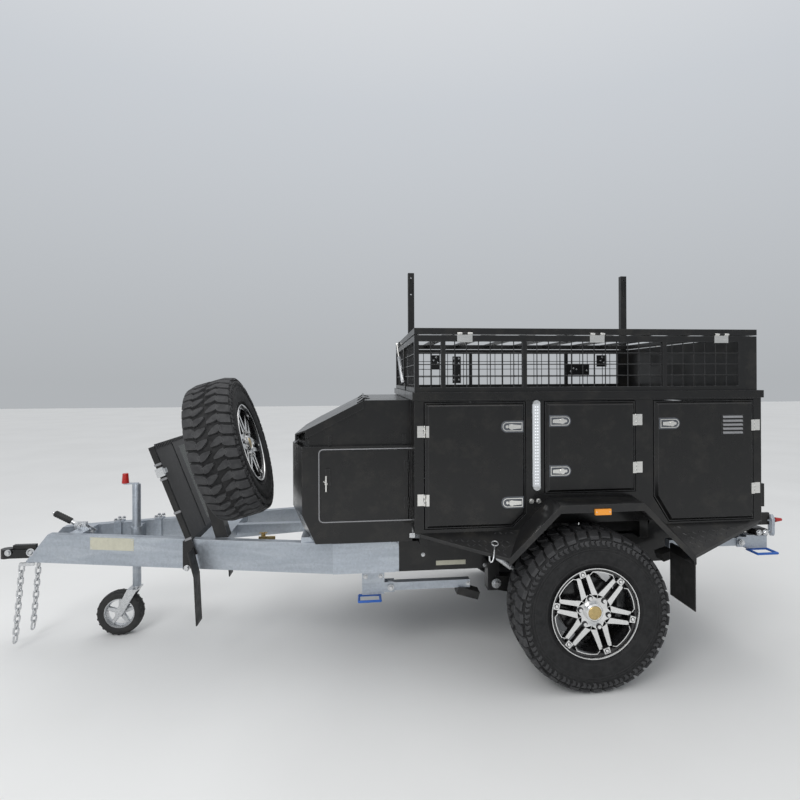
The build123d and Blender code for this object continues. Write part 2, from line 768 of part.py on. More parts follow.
def side_door(row):
    """A near-side door with its raised pan, latches and moving hinge leaves."""
    name, front, rear, low, high, cut, corner, hinged = row
    panel = prism_y(door_outline(front, rear, low, high, cut, corner, 0), SKIN)
    pan_face = make_face(
        Polyline(
            [(x, -BODY_HALF, z) for x, z in door_outline(front, rear, low, high, cut, corner, -PAN_INSET)],
            close=True,
        )
    )
    pan = extrude(pan_face, amount=PAN_OUT, dir=(0, -1, 0), taper=45)
    hinge_x = front - GAP / 2 if hinged == "front" else rear + GAP / 2
    door_side = 1 if hinged == "front" else -1
    parts = [panel, pan]
    fixed_leaves = []
    for owner, z in HINGES:
        if owner == name:
            fixed, moving = hinge_leaves(hinge_x, -BODY_HALF - PIN_OUT, z, door_side, LEAF_OUT)
            parts.append(moving)
            fixed_leaves.append(fixed)
    for owner, x, z in LATCHES:
        if owner == name:
            parts.append(latch(x, z, -BODY_HALF - PAN_OUT, -door_side))
    if name == "door_rear":
        parts.append(louvred_vent())
    return fused(parts), fixed_leaves


all_fixed_leaves = []
for row in DOORS:
    door, leaves = side_door(row)
    keep(row[0] + "_left", door)
    keep(row[0] + "_right", off_side(door))
    all_fixed_leaves += leaves + [off_side(leaf) for leaf in leaves]

# Rear door, hinged at its off-side edge
rear_door = block(
    (BODY_REAR - WALL, BODY_REAR), (-REAR_DOOR_HALF, REAR_DOOR_HALF), REAR_DOOR_Z
)
rear_pan_low, rear_pan_high = REAR_DOOR_Z[0] + PAN_INSET, REAR_DOOR_Z[1] - PAN_INSET
rear_pan_half = REAR_DOOR_HALF - PAN_INSET
rear_pan_corners = [
    (BODY_REAR, -rear_pan_half, rear_pan_low),
    (BODY_REAR, rear_pan_half, rear_pan_low),
    (BODY_REAR, rear_pan_half, rear_pan_high),
    (BODY_REAR, -rear_pan_half, rear_pan_high),
]
rear_pan_face = make_face(Polyline(rear_pan_corners, close=True))
rear_pan = extrude(rear_pan_face, amount=PAN_OUT, dir=(1, 0, 0), taper=45)
rear_parts = [rear_door, rear_pan]
quarter = Rot(0, 0, 90)
for z in (REAR_DOOR_Z[0] + REAR_HINGE_IN, REAR_DOOR_Z[1] - REAR_HINGE_IN):
    fixed, moving = hinge_leaves(REAR_DOOR_HALF + GAP / 2, -BODY_REAR - PIN_OUT, z, -1, LEAF_OUT)
    rear_parts.append(quarter * moving)
    all_fixed_leaves.append(quarter * fixed)
    rear_parts.append(quarter * latch(-REAR_DOOR_HALF + REAR_LATCH_IN, z, -BODY_REAR - PAN_OUT, 1))
keep("rear_door", fused(rear_parts))

# Guards and mud flaps


def plate_down(corners, thick=SHEET):
    """A flat sheet with its top at the corners, its thickness measured straight down."""
    return extrude(make_face(Polyline(corners, close=True)), amount=thick, dir=(0, 0, -1))


def between(start, end, share):
    """The point at a share of the way from one point to another."""
    return tuple(a + share * (b - a) for a, b in zip(start, end))


def guard():
    """The near guard: the arch band with its folded lip, and a folded flare at each end."""
    def band_face(points, y):
        lower = [(x, z - SHEET) for x, z in points]
        return make_face(Polyline([(x, y, z) for x, z in list(points) + lower[::-1]], close=True))

    band = loft([band_face(GUARD_WALL, -BODY_HALF), band_face(GUARD_EDGE, -GUARD_OUT)], ruled=True)
    lip_points = list(GUARD_EDGE) + [(x, z - GUARD_LIP) for x, z in reversed(GUARD_EDGE)]
    parts = [band, prism_y(lip_points, (-GUARD_OUT, -GUARD_OUT + SHEET))]
    for tip, root, low in (
        (FLARE_FRONT_TIP, GUARD_WALL[0], GUARD_EDGE[0]),
        (FLARE_REAR_TIP, GUARD_WALL[-1], GUARD_EDGE[-1]),
    ):
        tip_point = (tip[0], -BODY_HALF, tip[1])
        root_point = (root[0], -BODY_HALF, root[1])
        low_point = (low[0], -GUARD_OUT, low[1])
        shelf_point = between(root_point, low_point, FLARE_SHELF)
        parts.append(plate_down([tip_point, root_point, shelf_point]))
        parts.append(plate_down([tip_point, shelf_point, low_point]))
        hem_end = between(tip_point, low_point, 0.05)
        inner = (low_point[0], low_point[1] + SHEET, low_point[2])
        hem_in = (hem_end[0], hem_end[1] + SHEET, hem_end[2])
        parts.append(plate_down([hem_end, low_point, inner, hem_in], FLARE_HEM))
    return fused(parts)


near_guard = guard()
keep("guards", near_guard, off_side(near_guard))

flap_x = GUARD_EDGE[-1][0] - 1
flap_top = GUARD_EDGE[-1][1] - GUARD_LIP
mud_flap = block((flap_x - FLAP_T, flap_x), (-GUARD_OUT, -MUD_FLAP_IN), (MUD_FLAP_LOW, flap_top))

# Basket on the roof


def mesh_wires(length, height_range, across, place):
    """Welded mesh: uprights in one plane and long wires on their face."""
    wires = []
    low, high = height_range
    start, end = length
    count = round((end - start) / MESH_PITCH)
    step = (end - start) / count
    rows = round((high - low) / MESH_PITCH)
    rise = (high - low) / rows
    near, far = across
    middle = (near + far) / 2
    for number in range(1, count):
        at = start + number * step
        spread = (at - MESH_WIRE / 2, at + MESH_WIRE / 2)
        wires.append(place(spread, (middle, far), (low, high)))
    for number in range(1, rows):
        at = low + number * rise
        wires.append(place((start, end), (near, middle), (at - MESH_WIRE / 2, at + MESH_WIRE / 2)))
    return wires


def basket_side():
    """The near side of the basket: rails, posts, solid rear corner and welded mesh."""
    inner = -BASKET_HALF + BASKET_RAIL
    y = (-BASKET_HALF, inner)
    x = (BASKET_FRONT, BASKET_REAR)
    parts = [
        block(x, y, (LEDGE_TOP, LEDGE_TOP + BASKET_RAIL)),
        block(x, y, (BASKET_TOP - BASKET_TOP_RAIL, BASKET_TOP)),
        block((BASKET_FRONT, BASKET_FRONT + BASKET_RAIL), y, (LEDGE_TOP, BASKET_TOP)),
        block((BASKET_REAR - CORNER_PANEL, BASKET_REAR), y, (LEDGE_TOP, BASKET_TOP)),
    ]
    for post in BASKET_POSTS:
        post_x = (post - BASKET_POST_W / 2, post + BASKET_POST_W / 2)
        parts.append(block(post_x, y, (LEDGE_TOP, BASKET_TOP)))
    mesh_y = (-BASKET_HALF + 8, -BASKET_HALF + 8 + 2 * MESH_WIRE)
    parts += mesh_wires(
        (BASKET_FRONT + BASKET_RAIL, BASKET_REAR - CORNER_PANEL),
        (LEDGE_TOP + BASKET_RAIL, BASKET_TOP - BASKET_TOP_RAIL),
        mesh_y,
        block,
    )
    return fused(parts)


def basket_front():
    """The front of the basket, between the two sides."""
    reach = BASKET_HALF - BASKET_RAIL
    x = (BASKET_FRONT, BASKET_FRONT + BASKET_RAIL)
    y = (-reach, reach)
    parts = [
        block(x, y, (LEDGE_TOP, LEDGE_TOP + BASKET_RAIL)),
        block(x, y, (BASKET_TOP - BASKET_TOP_RAIL, BASKET_TOP)),
        block(x, (-BASKET_POST_W / 2, BASKET_POST_W / 2), (LEDGE_TOP, BASKET_TOP)),
    ]
    mesh_x = (BASKET_FRONT + 8, BASKET_FRONT + 8 + 2 * MESH_WIRE)
    parts += mesh_wires(
        y,
        (LEDGE_TOP + BASKET_RAIL, BASKET_TOP - BASKET_TOP_RAIL),
        mesh_x,
        lambda along, across, up: block(across, along, up),
    )
    return fused(parts)


side = basket_side()
keep("basket_sides", side, off_side(side))
reach = BASKET_HALF - BASKET_RAIL
basket_rear = block((BASKET_REAR - BASKET_RAIL, BASKET_REAR), (-reach, reach), (LEDGE_TOP, BASKET_TOP))
keep("basket_ends", basket_front(), basket_rear)


def lid_frame():
    """The rack that closes the basket: a rim, cross slats and its hinge barrels."""
    x = (BASKET_FRONT, BASKET_REAR)
    z = (LID_LOW, LID_LOW + LID_H)
    outer = block(x, (-BASKET_HALF, BASKET_HALF), z)
    inner_half = BASKET_HALF - LID_BAR
    hole = block((x[0] + LID_BAR, x[1] - LID_BAR), (-inner_half, inner_half), (z[0] - 1, z[1] + 1))
    parts = [outer - hole]
    step = (x[1] - x[0]) / (LID_SLATS + 1)
    for number in range(LID_SLATS):
        at = x[0] + (number + 1) * step
        parts.append(
            block(
                (at - SLAT_W / 2, at + SLAT_W / 2),
                (-inner_half, inner_half),
                (z[1] - SLAT_T, z[1]),
            )
        )
    for at, way in STRUTS:
        tab = (at + way * (STRUT_R + 1), at + way * (STRUT_OUT + 1))
        parts.append(block(tab, (STRUT_EYE[0] - 15, STRUT_EYE[0] + 15), (STRUT_EYE[1] - 12, z[1])))
    for at in LID_HINGES:
        parts.append(
            rod(
                (at - LID_BARREL / 2, LID_PIN[0], LID_PIN[1]),
                (at + LID_BARREL / 2, LID_PIN[0], LID_PIN[1]),
                KNUCKLE_R,
            )
        )
        parts.append(
            block(
                (at - LID_BARREL / 2, at + LID_BARREL / 2),
                (LID_PIN[0], -BASKET_HALF + 2),
                (LID_PIN[1], LID_PIN[1] + KNUCKLE_R),
            )
        )
    return fused(parts)


# Struts: middle x of each, outside the basket's end, and the way from there to the basket
STRUTS = ((BASKET_FRONT - STRUT_OUT, 1), (BASKET_REAR + STRUT_OUT, -1))
keep("rack_lid", lid_frame())

# The fixed ends of the lid's hinges: a leaf on the near side with a knuckle at each end
lid_brackets = []
for at in LID_HINGES:
    skin = -BASKET_HALF
    half = LID_LEAF / 2
    leaf_top = LID_PIN[1] - KNUCKLE_R - 1
    parts = [block((at - half, at + half), (skin - 4, skin), (leaf_top - LID_LEAF_DROP, leaf_top))]
    for way in (-1, 1):
        span = tuple(sorted((at + way * (LID_BARREL / 2 + 1), at + way * half)))
        parts.append(rod((span[0], *LID_PIN), (span[1], *LID_PIN), KNUCKLE_R))
        parts.append(block(span, (LID_PIN[0], skin), (leaf_top - 2, LID_PIN[1] - 2)))
    lid_brackets.append(fused(parts))

# Gas struts: cylinder on the basket's floor bracket, rod to the lid's ear
strut_run = (STRUT_EYE[0] - STRUT_BASE[0], STRUT_EYE[1] - STRUT_BASE[1])
strut_length = hypot(*strut_run)
strut_dir = (strut_run[0] / strut_length, strut_run[1] / strut_length)
CYLINDER_END = 0.62


def along_strut(x, distance):
    """A point on the strut's line at a distance from its base pivot."""
    return (x, STRUT_BASE[0] + distance * strut_dir[0], STRUT_BASE[1] + distance * strut_dir[1])


strut_feet = []
for name, (at, way) in zip(("front", "rear"), STRUTS):
    base_pin = (at, *STRUT_BASE)
    cylinder = tube(
        along_strut(at, 14), along_strut(at, strut_length * CYLINDER_END), STRUT_R, ROD_R + RUN
    )
    plug = rod(along_strut(at, 8), along_strut(at, 30), STRUT_R)
    eye = rod((at - 8, *STRUT_BASE), (at + 8, *STRUT_BASE), 11.0)
    pin_hole = rod((at - 9, *STRUT_BASE), (at + 9, *STRUT_BASE), 4.0 + RUN)
    keep("strut_cylinder_" + name, fused([cylinder, plug, eye]) - pin_hole)
    piston = rod(along_strut(at, 34), along_strut(at, strut_length - 6), ROD_R)
    top = rod((at - 8, *STRUT_EYE), (at + 8, *STRUT_EYE), 9.0)
    keep("strut_rod_" + name, fused([piston, top]))
    ear = (at + way * (STRUT_OUT - STRUT_FOOT_T), at + way * STRUT_OUT)
    foot = block(ear, (STRUT_BASE[0] - 20, STRUT_BASE[0] + 20), (LEDGE_TOP, STRUT_BASE[1] + 12))
    pin = rod((at - way * 9, *STRUT_BASE), (at + way * (STRUT_R + 2), *STRUT_BASE), 4.0)
    strut_feet.append(fused([foot, pin]))
keep("strut_feet", *strut_feet)

# Posts on the off side of the basket
posts = []
for x in POST_X:
    post = block(
        (x - POST_W / 2, x + POST_W / 2),
        (BASKET_HALF, BASKET_HALF + POST_D),
        (LEDGE_TOP + 30, POST_TOP),
    )
    for down in POST_HOLES:
        hole_z = POST_TOP - down
        hole_y = (BASKET_HALF - 1, BASKET_HALF + POST_D + 1)
        post = post - rod((x, hole_y[0], hole_z), (x, hole_y[1], hole_z), POST_HOLE_R)
    posts.append(post)
keep("rack_posts", *posts)

# Nose box: shell, top lid and side doors


def nose_plan(inset, set_back):
    """The plan of the nose box, drawn in by an inset and its front moved back."""
    half = NOSE_HALF - inset
    side = NOSE_SIDE_FRONT + set_back + inset
    middle = NOSE_MID_FRONT + set_back + inset
    mid_half = NOSE_MID_HALF - inset * 0.3
    front = [(side, half), (middle, mid_half), (middle, -mid_half), (side, -half)]
    return [(NOSE_REAR - inset * 0.7, -half), (NOSE_REAR - inset * 0.7, half)] + front


def nose_solid(inset, low, high):
    """The lower part of the nose box, its front foot raked back by the chamfer."""
    def plan_face(set_back, z):
        plan = nose_plan(inset, set_back)
        return make_face(Polyline([(px, py, z) for px, py in plan], close=True))

    knee = NOSE_LOW + NOSE_CHAMFER[1]
    start_back = NOSE_CHAMFER[0] * (knee - low) / NOSE_CHAMFER[1]
    foot = loft([plan_face(start_back, low), plan_face(0, knee)], ruled=True)
    upper = prism_z(nose_plan(inset, 0), (knee, high))
    return foot + upper


def slope_z(x):
    """Height of the nose lid's outer face at a place along it."""
    share = (x - NOSE_FRONT_X) / (NOSE_RIDGE[0] - NOSE_FRONT_X)
    return NOSE_EAVE + share * (NOSE_RIDGE[1] - NOSE_EAVE)


NOSE_WALL = 20.0
NOSE_FRONT_X = NOSE_MID_FRONT + 12.0
upper_half = NOSE_HALF - NOSE_INSET
cheek_front = NOSE_FRONT_X + LID_T + GAP
upper_profile = [
    (NOSE_REAR, NOSE_SHOULDER),
    (NOSE_REAR, NOSE_RIDGE[1]),
    (NOSE_RIDGE[0], NOSE_RIDGE[1]),
    (NOSE_RIDGE[0], NOSE_RIDGE[1] - LID_T - 1),
    (cheek_front, slope_z(cheek_front) - LID_T - 1),
    (cheek_front, NOSE_SHOULDER),
]
inner_profile = [
    (NOSE_REAR - NOSE_WALL, NOSE_SHOULDER - NOSE_WALL - 1),
    (NOSE_REAR - NOSE_WALL, NOSE_RIDGE[1] - NOSE_WALL),
    (NOSE_RIDGE[0] - NOSE_WALL, NOSE_RIDGE[1] - NOSE_WALL),
    (NOSE_RIDGE[0] - NOSE_WALL, NOSE_RIDGE[1] + 1),
    (cheek_front + NOSE_WALL, NOSE_RIDGE[1] + 1),
    (cheek_front + NOSE_WALL, NOSE_SHOULDER - NOSE_WALL - 1),
]
plan_trim = prism_z(nose_plan(NOSE_INSET, 0)[2:] + [(NOSE_REAR, -upper_half), (NOSE_REAR, upper_half)],
                    (NOSE_SHOULDER - 60, NOSE_RIDGE[1] + 40))
cheeks = prism_y(upper_profile, (-upper_half, upper_half)) & plan_trim
well = prism_y(inner_profile, (-upper_half + NOSE_WALL, upper_half - NOSE_WALL))
well_trim = prism_z(nose_plan(NOSE_INSET + NOSE_WALL, 0), (NOSE_SHOULDER - 60, NOSE_RIDGE[1] + 40))
well = well & well_trim
nose = nose_solid(0, NOSE_LOW, NOSE_SHOULDER) - nose_solid(
    NOSE_WALL, NOSE_LOW + NOSE_WALL, NOSE_SHOULDER - NOSE_WALL
)
nose = nose + cheeks - well
door_front, door_rear, door_low, door_high = NOSE_DOOR
nose_hole = block(
    (door_front - GAP, door_rear + GAP),
    (-NOSE_HALF - 1, -NOSE_HALF + NOSE_WALL + 1),
    (door_low - GAP, door_high + GAP),
)
nose = nose - nose_hole - off_side(nose_hole)

nose_panel = block((door_front, door_rear), (-NOSE_HALF, -NOSE_HALF + NOSE_WALL), (door_low, door_high))
handle_x = door_front + 42
handle_z = (door_low + door_high) / 2 + 50
handle_y = (-NOSE_HALF - 12, -NOSE_HALF)
nose_handle = block((handle_x - 12, handle_x + 12), handle_y, (handle_z - 45, handle_z + 45))
nose_parts = [nose_panel, nose_handle]
for z in (door_low + 90, door_high - 90):
    fixed, moving = hinge_leaves(door_rear + GAP / 2, -NOSE_HALF - PIN_OUT, z, -1, HINGE_T)
    nose_parts.append(moving)
    fixed = fixed & block((door_rear - 20, NOSE_REAR), (-BODY_HALF, 0), (door_low - 50, door_high + 50))
    all_fixed_leaves += [fixed, off_side(fixed)]
nose_door = fused(nose_parts)
keep("nose_door_left", nose_door)
keep("nose_door_right", off_side(nose_door))
catch_y = (-upper_half - 9, -upper_half)
catches = [
    block((x - CATCH_W / 2, x + CATCH_W / 2), catch_y, (NOSE_SHOULDER + 4, NOSE_SHOULDER + 4 + CATCH_H))
    for x in CATCH_X
]
catches += [off_side(catch) for catch in catches]
keep("fixed_hinges", *all_fixed_leaves, *lid_brackets, *catches)

lid_end = NOSE_RIDGE[0] - 3
lid_half = upper_half + LID_T + 2
lid_top = [(NOSE_FRONT_X, slope_z(NOSE_FRONT_X)), (lid_end, slope_z(lid_end))]
lid_under = [(x, z - LID_T) for x, z in reversed(lid_top)]
lid_plate = prism_y(lid_top + lid_under, (-lid_half, lid_half))
lip_under = [(x, z - NOSE_LIP) for x, z in reversed(lid_top)]
side_lip = prism_y(lid_top + lip_under, (-lid_half, -lid_half + LID_T))
lid_trim = prism_z(
    [
        (lid_end + 1, -lid_half),
        (lid_end + 1, lid_half),
        (NOSE_SIDE_FRONT + 18, lid_half),
        (NOSE_FRONT_X, NOSE_MID_HALF),
        (NOSE_FRONT_X, -NOSE_MID_HALF),
        (NOSE_SIDE_FRONT + 18, -lid_half),
    ],
    (NOSE_SHOULDER, NOSE_RIDGE[1] + 20),
)
lip_x = (NOSE_FRONT_X, NOSE_FRONT_X + LID_T)
front_lip = block(lip_x, (-NOSE_MID_HALF, NOSE_MID_HALF), (NOSE_EAVE - 40, NOSE_EAVE))
lid_shell = fused([lid_plate, side_lip, off_side(side_lip), front_lip]) & lid_trim

# The lid turns on a long hinge along the ridge, its knuckles shared by turns with the box
NOSE_PIN_Z = NOSE_RIDGE[1] + KNUCKLE_R + 1
NOSE_KNUCKLE = 200.0
NOSE_KNUCKLES = 5
NOSE_LEAF = 38.0
ridge_x = NOSE_RIDGE[0]
leaf_front = ridge_x - NOSE_LEAF
lid_leaf = [
    (leaf_front, slope_z(leaf_front)),
    (lid_end, slope_z(lid_end)),
    (ridge_x - 2, NOSE_PIN_Z - 3),
    (ridge_x - 2, NOSE_PIN_Z + 2),
    (leaf_front, slope_z(leaf_front) + HINGE_T),
]
box_leaf = [
    (ridge_x + NOSE_LEAF, NOSE_RIDGE[1]),
    (ridge_x + NOSE_LEAF, NOSE_RIDGE[1] + HINGE_T),
    (ridge_x + 2, NOSE_PIN_Z + 2),
    (ridge_x + 2, NOSE_RIDGE[1]),
]
for number in range(NOSE_KNUCKLES):
    start = (number - NOSE_KNUCKLES / 2) * NOSE_KNUCKLE
    span = (start + RUN, start + NOSE_KNUCKLE - RUN)
    barrel = rod((ridge_x, span[0], NOSE_PIN_Z), (ridge_x, span[1], NOSE_PIN_Z), KNUCKLE_R)
    if number % 2:
        nose = nose + prism_y(box_leaf, span) + barrel
    else:
        lid_shell = lid_shell + prism_y(lid_leaf, span) + barrel
keep("nose_lid", lid_shell)
keep("nose_box", nose)

# Spare wheel on its carrier, leaning forward
spare_place = Pos(*SPARE) * Rot(0, -SPARE_LEAN, 0) * Rot(0, 0, 90)
keep("spare_tyre", spare_place * tyre)
keep("spare_rim", spare_place * rim_solid())

lean = radians(SPARE_LEAN)
spare_axis = (-cos(lean), 0.0, -sin(lean))
spare_up = (-sin(lean), 0.0, cos(lean))


def off_spare(forward, up):
    """A point measured from the middle of the spare, along its axle and up its plane."""
    return tuple(SPARE[i] + forward * spare_axis[i] + up * spare_up[i] for i in range(3))


POST_FORWARD = 185.0
POST_HALF = 35.0
CARRIER_TOP = 60.0
front_top = off_spare(POST_FORWARD + POST_HALF, CARRIER_TOP)
rear_top = off_spare(POST_FORWARD - POST_HALF, CARRIER_TOP)


def at_height(point, z):
    """Slide a point down the lean of the spare to a height."""
    return (point[0] + (point[2] - z) * tan(lean), z)


carrier_post = prism_y(
    [
        (front_top[0], front_top[2]),
        at_height(front_top, RAIL_TOP),
        at_height(rear_top, RAIL_TOP),
        (rear_top[0], rear_top[2]),
    ],
    (SPARE[1] - 40, SPARE[1] + 40),
)
RIM_FACE_DEPTH = RIM_W / 2 - FACE_IN - HUB_T
hub_arm = rod(off_spare(POST_FORWARD, 0), off_spare(-RIM_FACE_DEPTH, 0), 50.0)
keep("spare_carrier", fused([carrier_post, hub_arm]))

# Stone guard: a leaning frame with mesh, a cloth panel behind it and a rubber flap below
g_lean = radians(GUARD_LEAN)


def guard_box(across, up, deep):
    """A box in the stone guard's own plane: across Y, up its lean and deep behind it."""
    flat = block(deep, across, up)
    return Pos(GUARD_FOOT[0], 0, GUARD_FOOT[1]) * Rot(0, -GUARD_LEAN, 0) * flat


tube_half = GUARD_TUBE / 2
split_y = -GUARD_HALF + 2 * GUARD_HALF * GUARD_SPLIT
frame_y = (-GUARD_HALF, -GUARD_HALF + GUARD_TUBE), (GUARD_HALF - GUARD_TUBE, GUARD_HALF)
frame_parts = [guard_box(y, (0, GUARD_LEN), (-tube_half, tube_half)) for y in frame_y]
for low in (GUARD_SILL, GUARD_LEN - GUARD_TUBE):
    bar_up = (low, low + GUARD_TUBE)
    frame_parts.append(guard_box((-GUARD_HALF, GUARD_HALF), bar_up, (-tube_half, tube_half)))
split_bar = (split_y - tube_half, split_y + tube_half)
frame_parts.append(guard_box(split_bar, (GUARD_SILL, GUARD_LEN), (-tube_half, tube_half)))
cloth = guard_box(
    (-GUARD_HALF + 6, GUARD_HALF - 6), (GUARD_SILL + GUARD_TUBE, GUARD_LEN - 10), (tube_half, tube_half + 4)
)
keep("stone_cloth", cloth)

blade_front = list(BLADE)
blade_back = [(x + BLADE_T, z) for x, z in reversed(BLADE)]
blade = prism_y(blade_front + blade_back, (-BLADE_HALF[1], -BLADE_HALF[0]))
keep("rubber_flaps", blade, off_side(blade), mud_flap, off_side(mud_flap))

arm_x = GUARD_ARM[:2]
arm_z = GUARD_ARM[2:]
guard_arm = block(arm_x, (-GUARD_HALF, -draw_half(arm_x[0]) + 8), arm_z) - rail
stone_guard = fused([*frame_parts, guard_arm, off_side(guard_arm)])
keep("stone_guard", stone_guard - rail - off_side(rail))

# Jockey wheel: clamped outer tube with its crank, sliding leg with fork, and the wheel
tube_low, tube_high = JOCKEY_TUBE


def jockey_rod(low, high, radius):
    """An upright bar on the jockey wheel's own line."""
    return rod((JOCKEY_X, JOCKEY_Y, low), (JOCKEY_X, JOCKEY_Y, high), radius)


jockey_tube = jockey_rod(tube_low, tube_high, JOCKEY_TUBE_R)
jockey_cap = jockey_rod(tube_high - 1, tube_high + 18, JOCKEY_TUBE_R)
crank_x = JOCKEY_X - CRANK_REACH
crank_top = tube_high + 26
crank_arm = block((crank_x - 10, JOCKEY_X + 12), (JOCKEY_Y - 10, JOCKEY_Y + 10), (tube_high + 17, crank_top))
knob_low, knob_high, knob_tall = KNOB
knob = Pos(crank_x, JOCKEY_Y, crank_top - 1 + knob_tall / 2) * Cone(knob_low, knob_high, knob_tall)
jockey_rail_y = draw_half(JOCKEY_X) - RAIL_W
clamp_x = (CLAMP_X[1] - CLAMP_W / 2, CLAMP_X[1] + CLAMP_W / 2)
clamp_y = (JOCKEY_Y + 8, jockey_rail_y + 9)
clamp = block(clamp_x, clamp_y, (RAIL_LOW + 12, RAIL_TOP - 12)) - off_side(rail)
collar = jockey_rod(RAIL_LOW + 12, RAIL_TOP - 12, JOCKEY_TUBE_R + 8)
bore = jockey_rod(tube_low - 1, tube_high, JOCKEY_BORE_R)
keep("jockey_tube", fused([jockey_tube, clamp, collar, jockey_cap, crank_arm, knob]) - bore)

leg_low, leg_high = JOCKEY_LEG
wheel_x = JOCKEY_X - CASTOR_TRAIL
castor_z = CASTOR_R - DATUM
fork_half = CASTOR_W / 2 + 6
leg = jockey_rod(leg_low, leg_high, JOCKEY_LEG_R)
crown = block(
    (JOCKEY_X - 44, JOCKEY_X + JOCKEY_LEG_R),
    (JOCKEY_Y - fork_half - 6, JOCKEY_Y + fork_half + 6),
    (leg_low + 6, leg_low + 16),
)
cheeks_f = [
    prism_y(
        [
            (JOCKEY_X - 44, leg_low + 16),
            (JOCKEY_X + 20, leg_low + 16),
            (wheel_x + 16, castor_z - 16),
            (wheel_x - 16, castor_z - 16),
            (wheel_x - 16, castor_z + 16),
        ],
        tuple(sorted((JOCKEY_Y + way * fork_half, JOCKEY_Y + way * (fork_half + 6)))),
    )
    for way in (-1, 1)
]
axle_y = (JOCKEY_Y - fork_half - 10, JOCKEY_Y + fork_half + 10)
castor_axle = rod((wheel_x, axle_y[0], castor_z), (wheel_x, axle_y[1], castor_z), CASTOR_AXLE_R)
keep("jockey_leg", fused([leg, crown, *cheeks_f, castor_axle]))
castor = Cylinder(CASTOR_R, CASTOR_W)
castor = fillet(castor.edges().filter_by(GeomType.CIRCLE), 22.0)
for way in (-1, 1):
    castor -= Pos(0, 0, way * CASTOR_W / 2) * Cylinder(CASTOR_RIM_R, 24.0)
castor = castor - Cylinder(CASTOR_AXLE_R + RUN, CASTOR_W + 2)
castor = Pos(wheel_x, JOCKEY_Y, castor_z) * Rot(90, 0, 0) * castor
keep("jockey_wheel", castor)

# Stabilisers: brackets on the chassis and folding legs with their feet
brackets = []
for name, pivot_x, pivot_z, y_mid, length, way, top in STABILISERS:
    half = LEG_W / 2
    low = pivot_z - BRACKET_DROP
    far = tuple(pivot_x - way * reach for reach in BRACKET_FAR)
    parts = [block(far, (-y_mid - half - 7, -y_mid + half + 7), (low, top))]
    for side_way in (-1, 1):
        ear_y = (-y_mid + side_way * (half + 1), -y_mid + side_way * (half + 7))
        parts.append(block((far[0] - way * 2, pivot_x + way * 22), ear_y, (pivot_z - 28, pivot_z + 28)))
    on_pin = [(pivot_x, -y_mid - half - 12, pivot_z), (pivot_x, -y_mid + half + 12, pivot_z)]
    parts.append(rod(*on_pin, LEG_PIN_R))
    # The blue handle: a closed loop lying flat under the bracket
    loop_z = pivot_z - HANDLE_DROP
    loop_x = [pivot_x - way * reach for reach in HANDLE_SPAN]
    corners = [(loop_x[0], -y_mid), (loop_x[0], -y_mid - HANDLE_OUT), (loop_x[1], -y_mid - HANDLE_OUT)]
    corners.append((loop_x[1], -y_mid))
    for start, end in zip(corners, corners[1:] + corners[:1]):
        parts.append(rod((*start, loop_z), (*end, loop_z), HANDLE_R))
    for corner in corners[1:3]:
        parts.append(Pos(*corner, loop_z) * Sphere(HANDLE_R))
    stem_x = sum(far) / 2
    parts.append(rod((stem_x, -y_mid, loop_z), (stem_x, -y_mid, low + 1), HANDLE_R))
    bracket = fused(parts)
    brackets += [bracket, off_side(bracket)]
    foot_x = pivot_x + way * (length - 2)
    foot_z = pivot_z - FOOT_DROP
    leg_y = (-y_mid - half, -y_mid + half)
    leg_bar = block((pivot_x, foot_x + way * 12), leg_y, (pivot_z - half, pivot_z + half))
    collar = rod((pivot_x, leg_y[0], pivot_z), (pivot_x, leg_y[1], pivot_z), COLLAR / 2)
    neck = block((foot_x - way * 20, foot_x + way * 12), (-y_mid - 18, -y_mid + 18), (foot_z, pivot_z))
    foot = Pos(foot_x, -y_mid, foot_z) * Rot(0, way * FOOT_TILT, 0) * Box(FOOT_L, 2 * FOOT_HALF, FOOT_T)
    hole = rod(*on_pin, LEG_PIN_R + RUN)
    stab = fused([leg_bar, collar, neck, foot]) - hole
    keep(name + "_left", stab)
    keep(name + "_right", off_side(stab))
keep("stabiliser_brackets", *brackets)

# Coupling and handbrake on the nose of the drawbar
plate_front = DRAW_FRONT + 4
plate_half = (draw_half(DRAW_FRONT) - RAIL_W, draw_half(COUPLING_PLATE_END) - RAIL_W)
coupling_plate = prism_z(
    [
        (plate_front, -plate_half[0]),
        (COUPLING_PLATE_END, -plate_half[1]),
        (COUPLING_PLATE_END, plate_half[1]),
        (plate_front, plate_half[0]),
    ],
    (RAIL_LOW, RAIL_LOW + 12),
)
ball_low, ball_high = BALL_Z
head = rod((BALL_X, 0, ball_low), (BALL_X, 0, ball_high), BALL_X - NOSE_X)
neck = block((BALL_X + 10, DRAW_FRONT + 120), (-COUPLING_HALF, COUPLING_HALF), (ball_low, ball_high - 6))
hand_grip = block((BALL_X + 40, BALL_X + 170), (-14, 14), (ball_high - 7, ball_high + 22))
socket = rod((BALL_X, 0, ball_low - 1), (BALL_X, 0, ball_low + SOCKET_DEEP), BALL_R)
lever_foot = block((LEVER_FOOT[0] - 34, LEVER_FOOT[0] + 34), (-16, 16), (RAIL_TOP, LEVER_FOOT[1] + 24))
lever = rod((LEVER_FOOT[0], 0, LEVER_FOOT[1]), (LEVER_TIP[0], 0, LEVER_TIP[1]), LEVER_R)
lever_end = Pos(LEVER_TIP[0], 0, LEVER_TIP[1]) * Sphere(LEVER_R + 4)
brake_lever = fused([lever_foot, lever, lever_end])
keep("coupling", fused([coupling_plate, neck, head, hand_grip]) - socket, brake_lever)

# Safety chains hanging from the drawbar


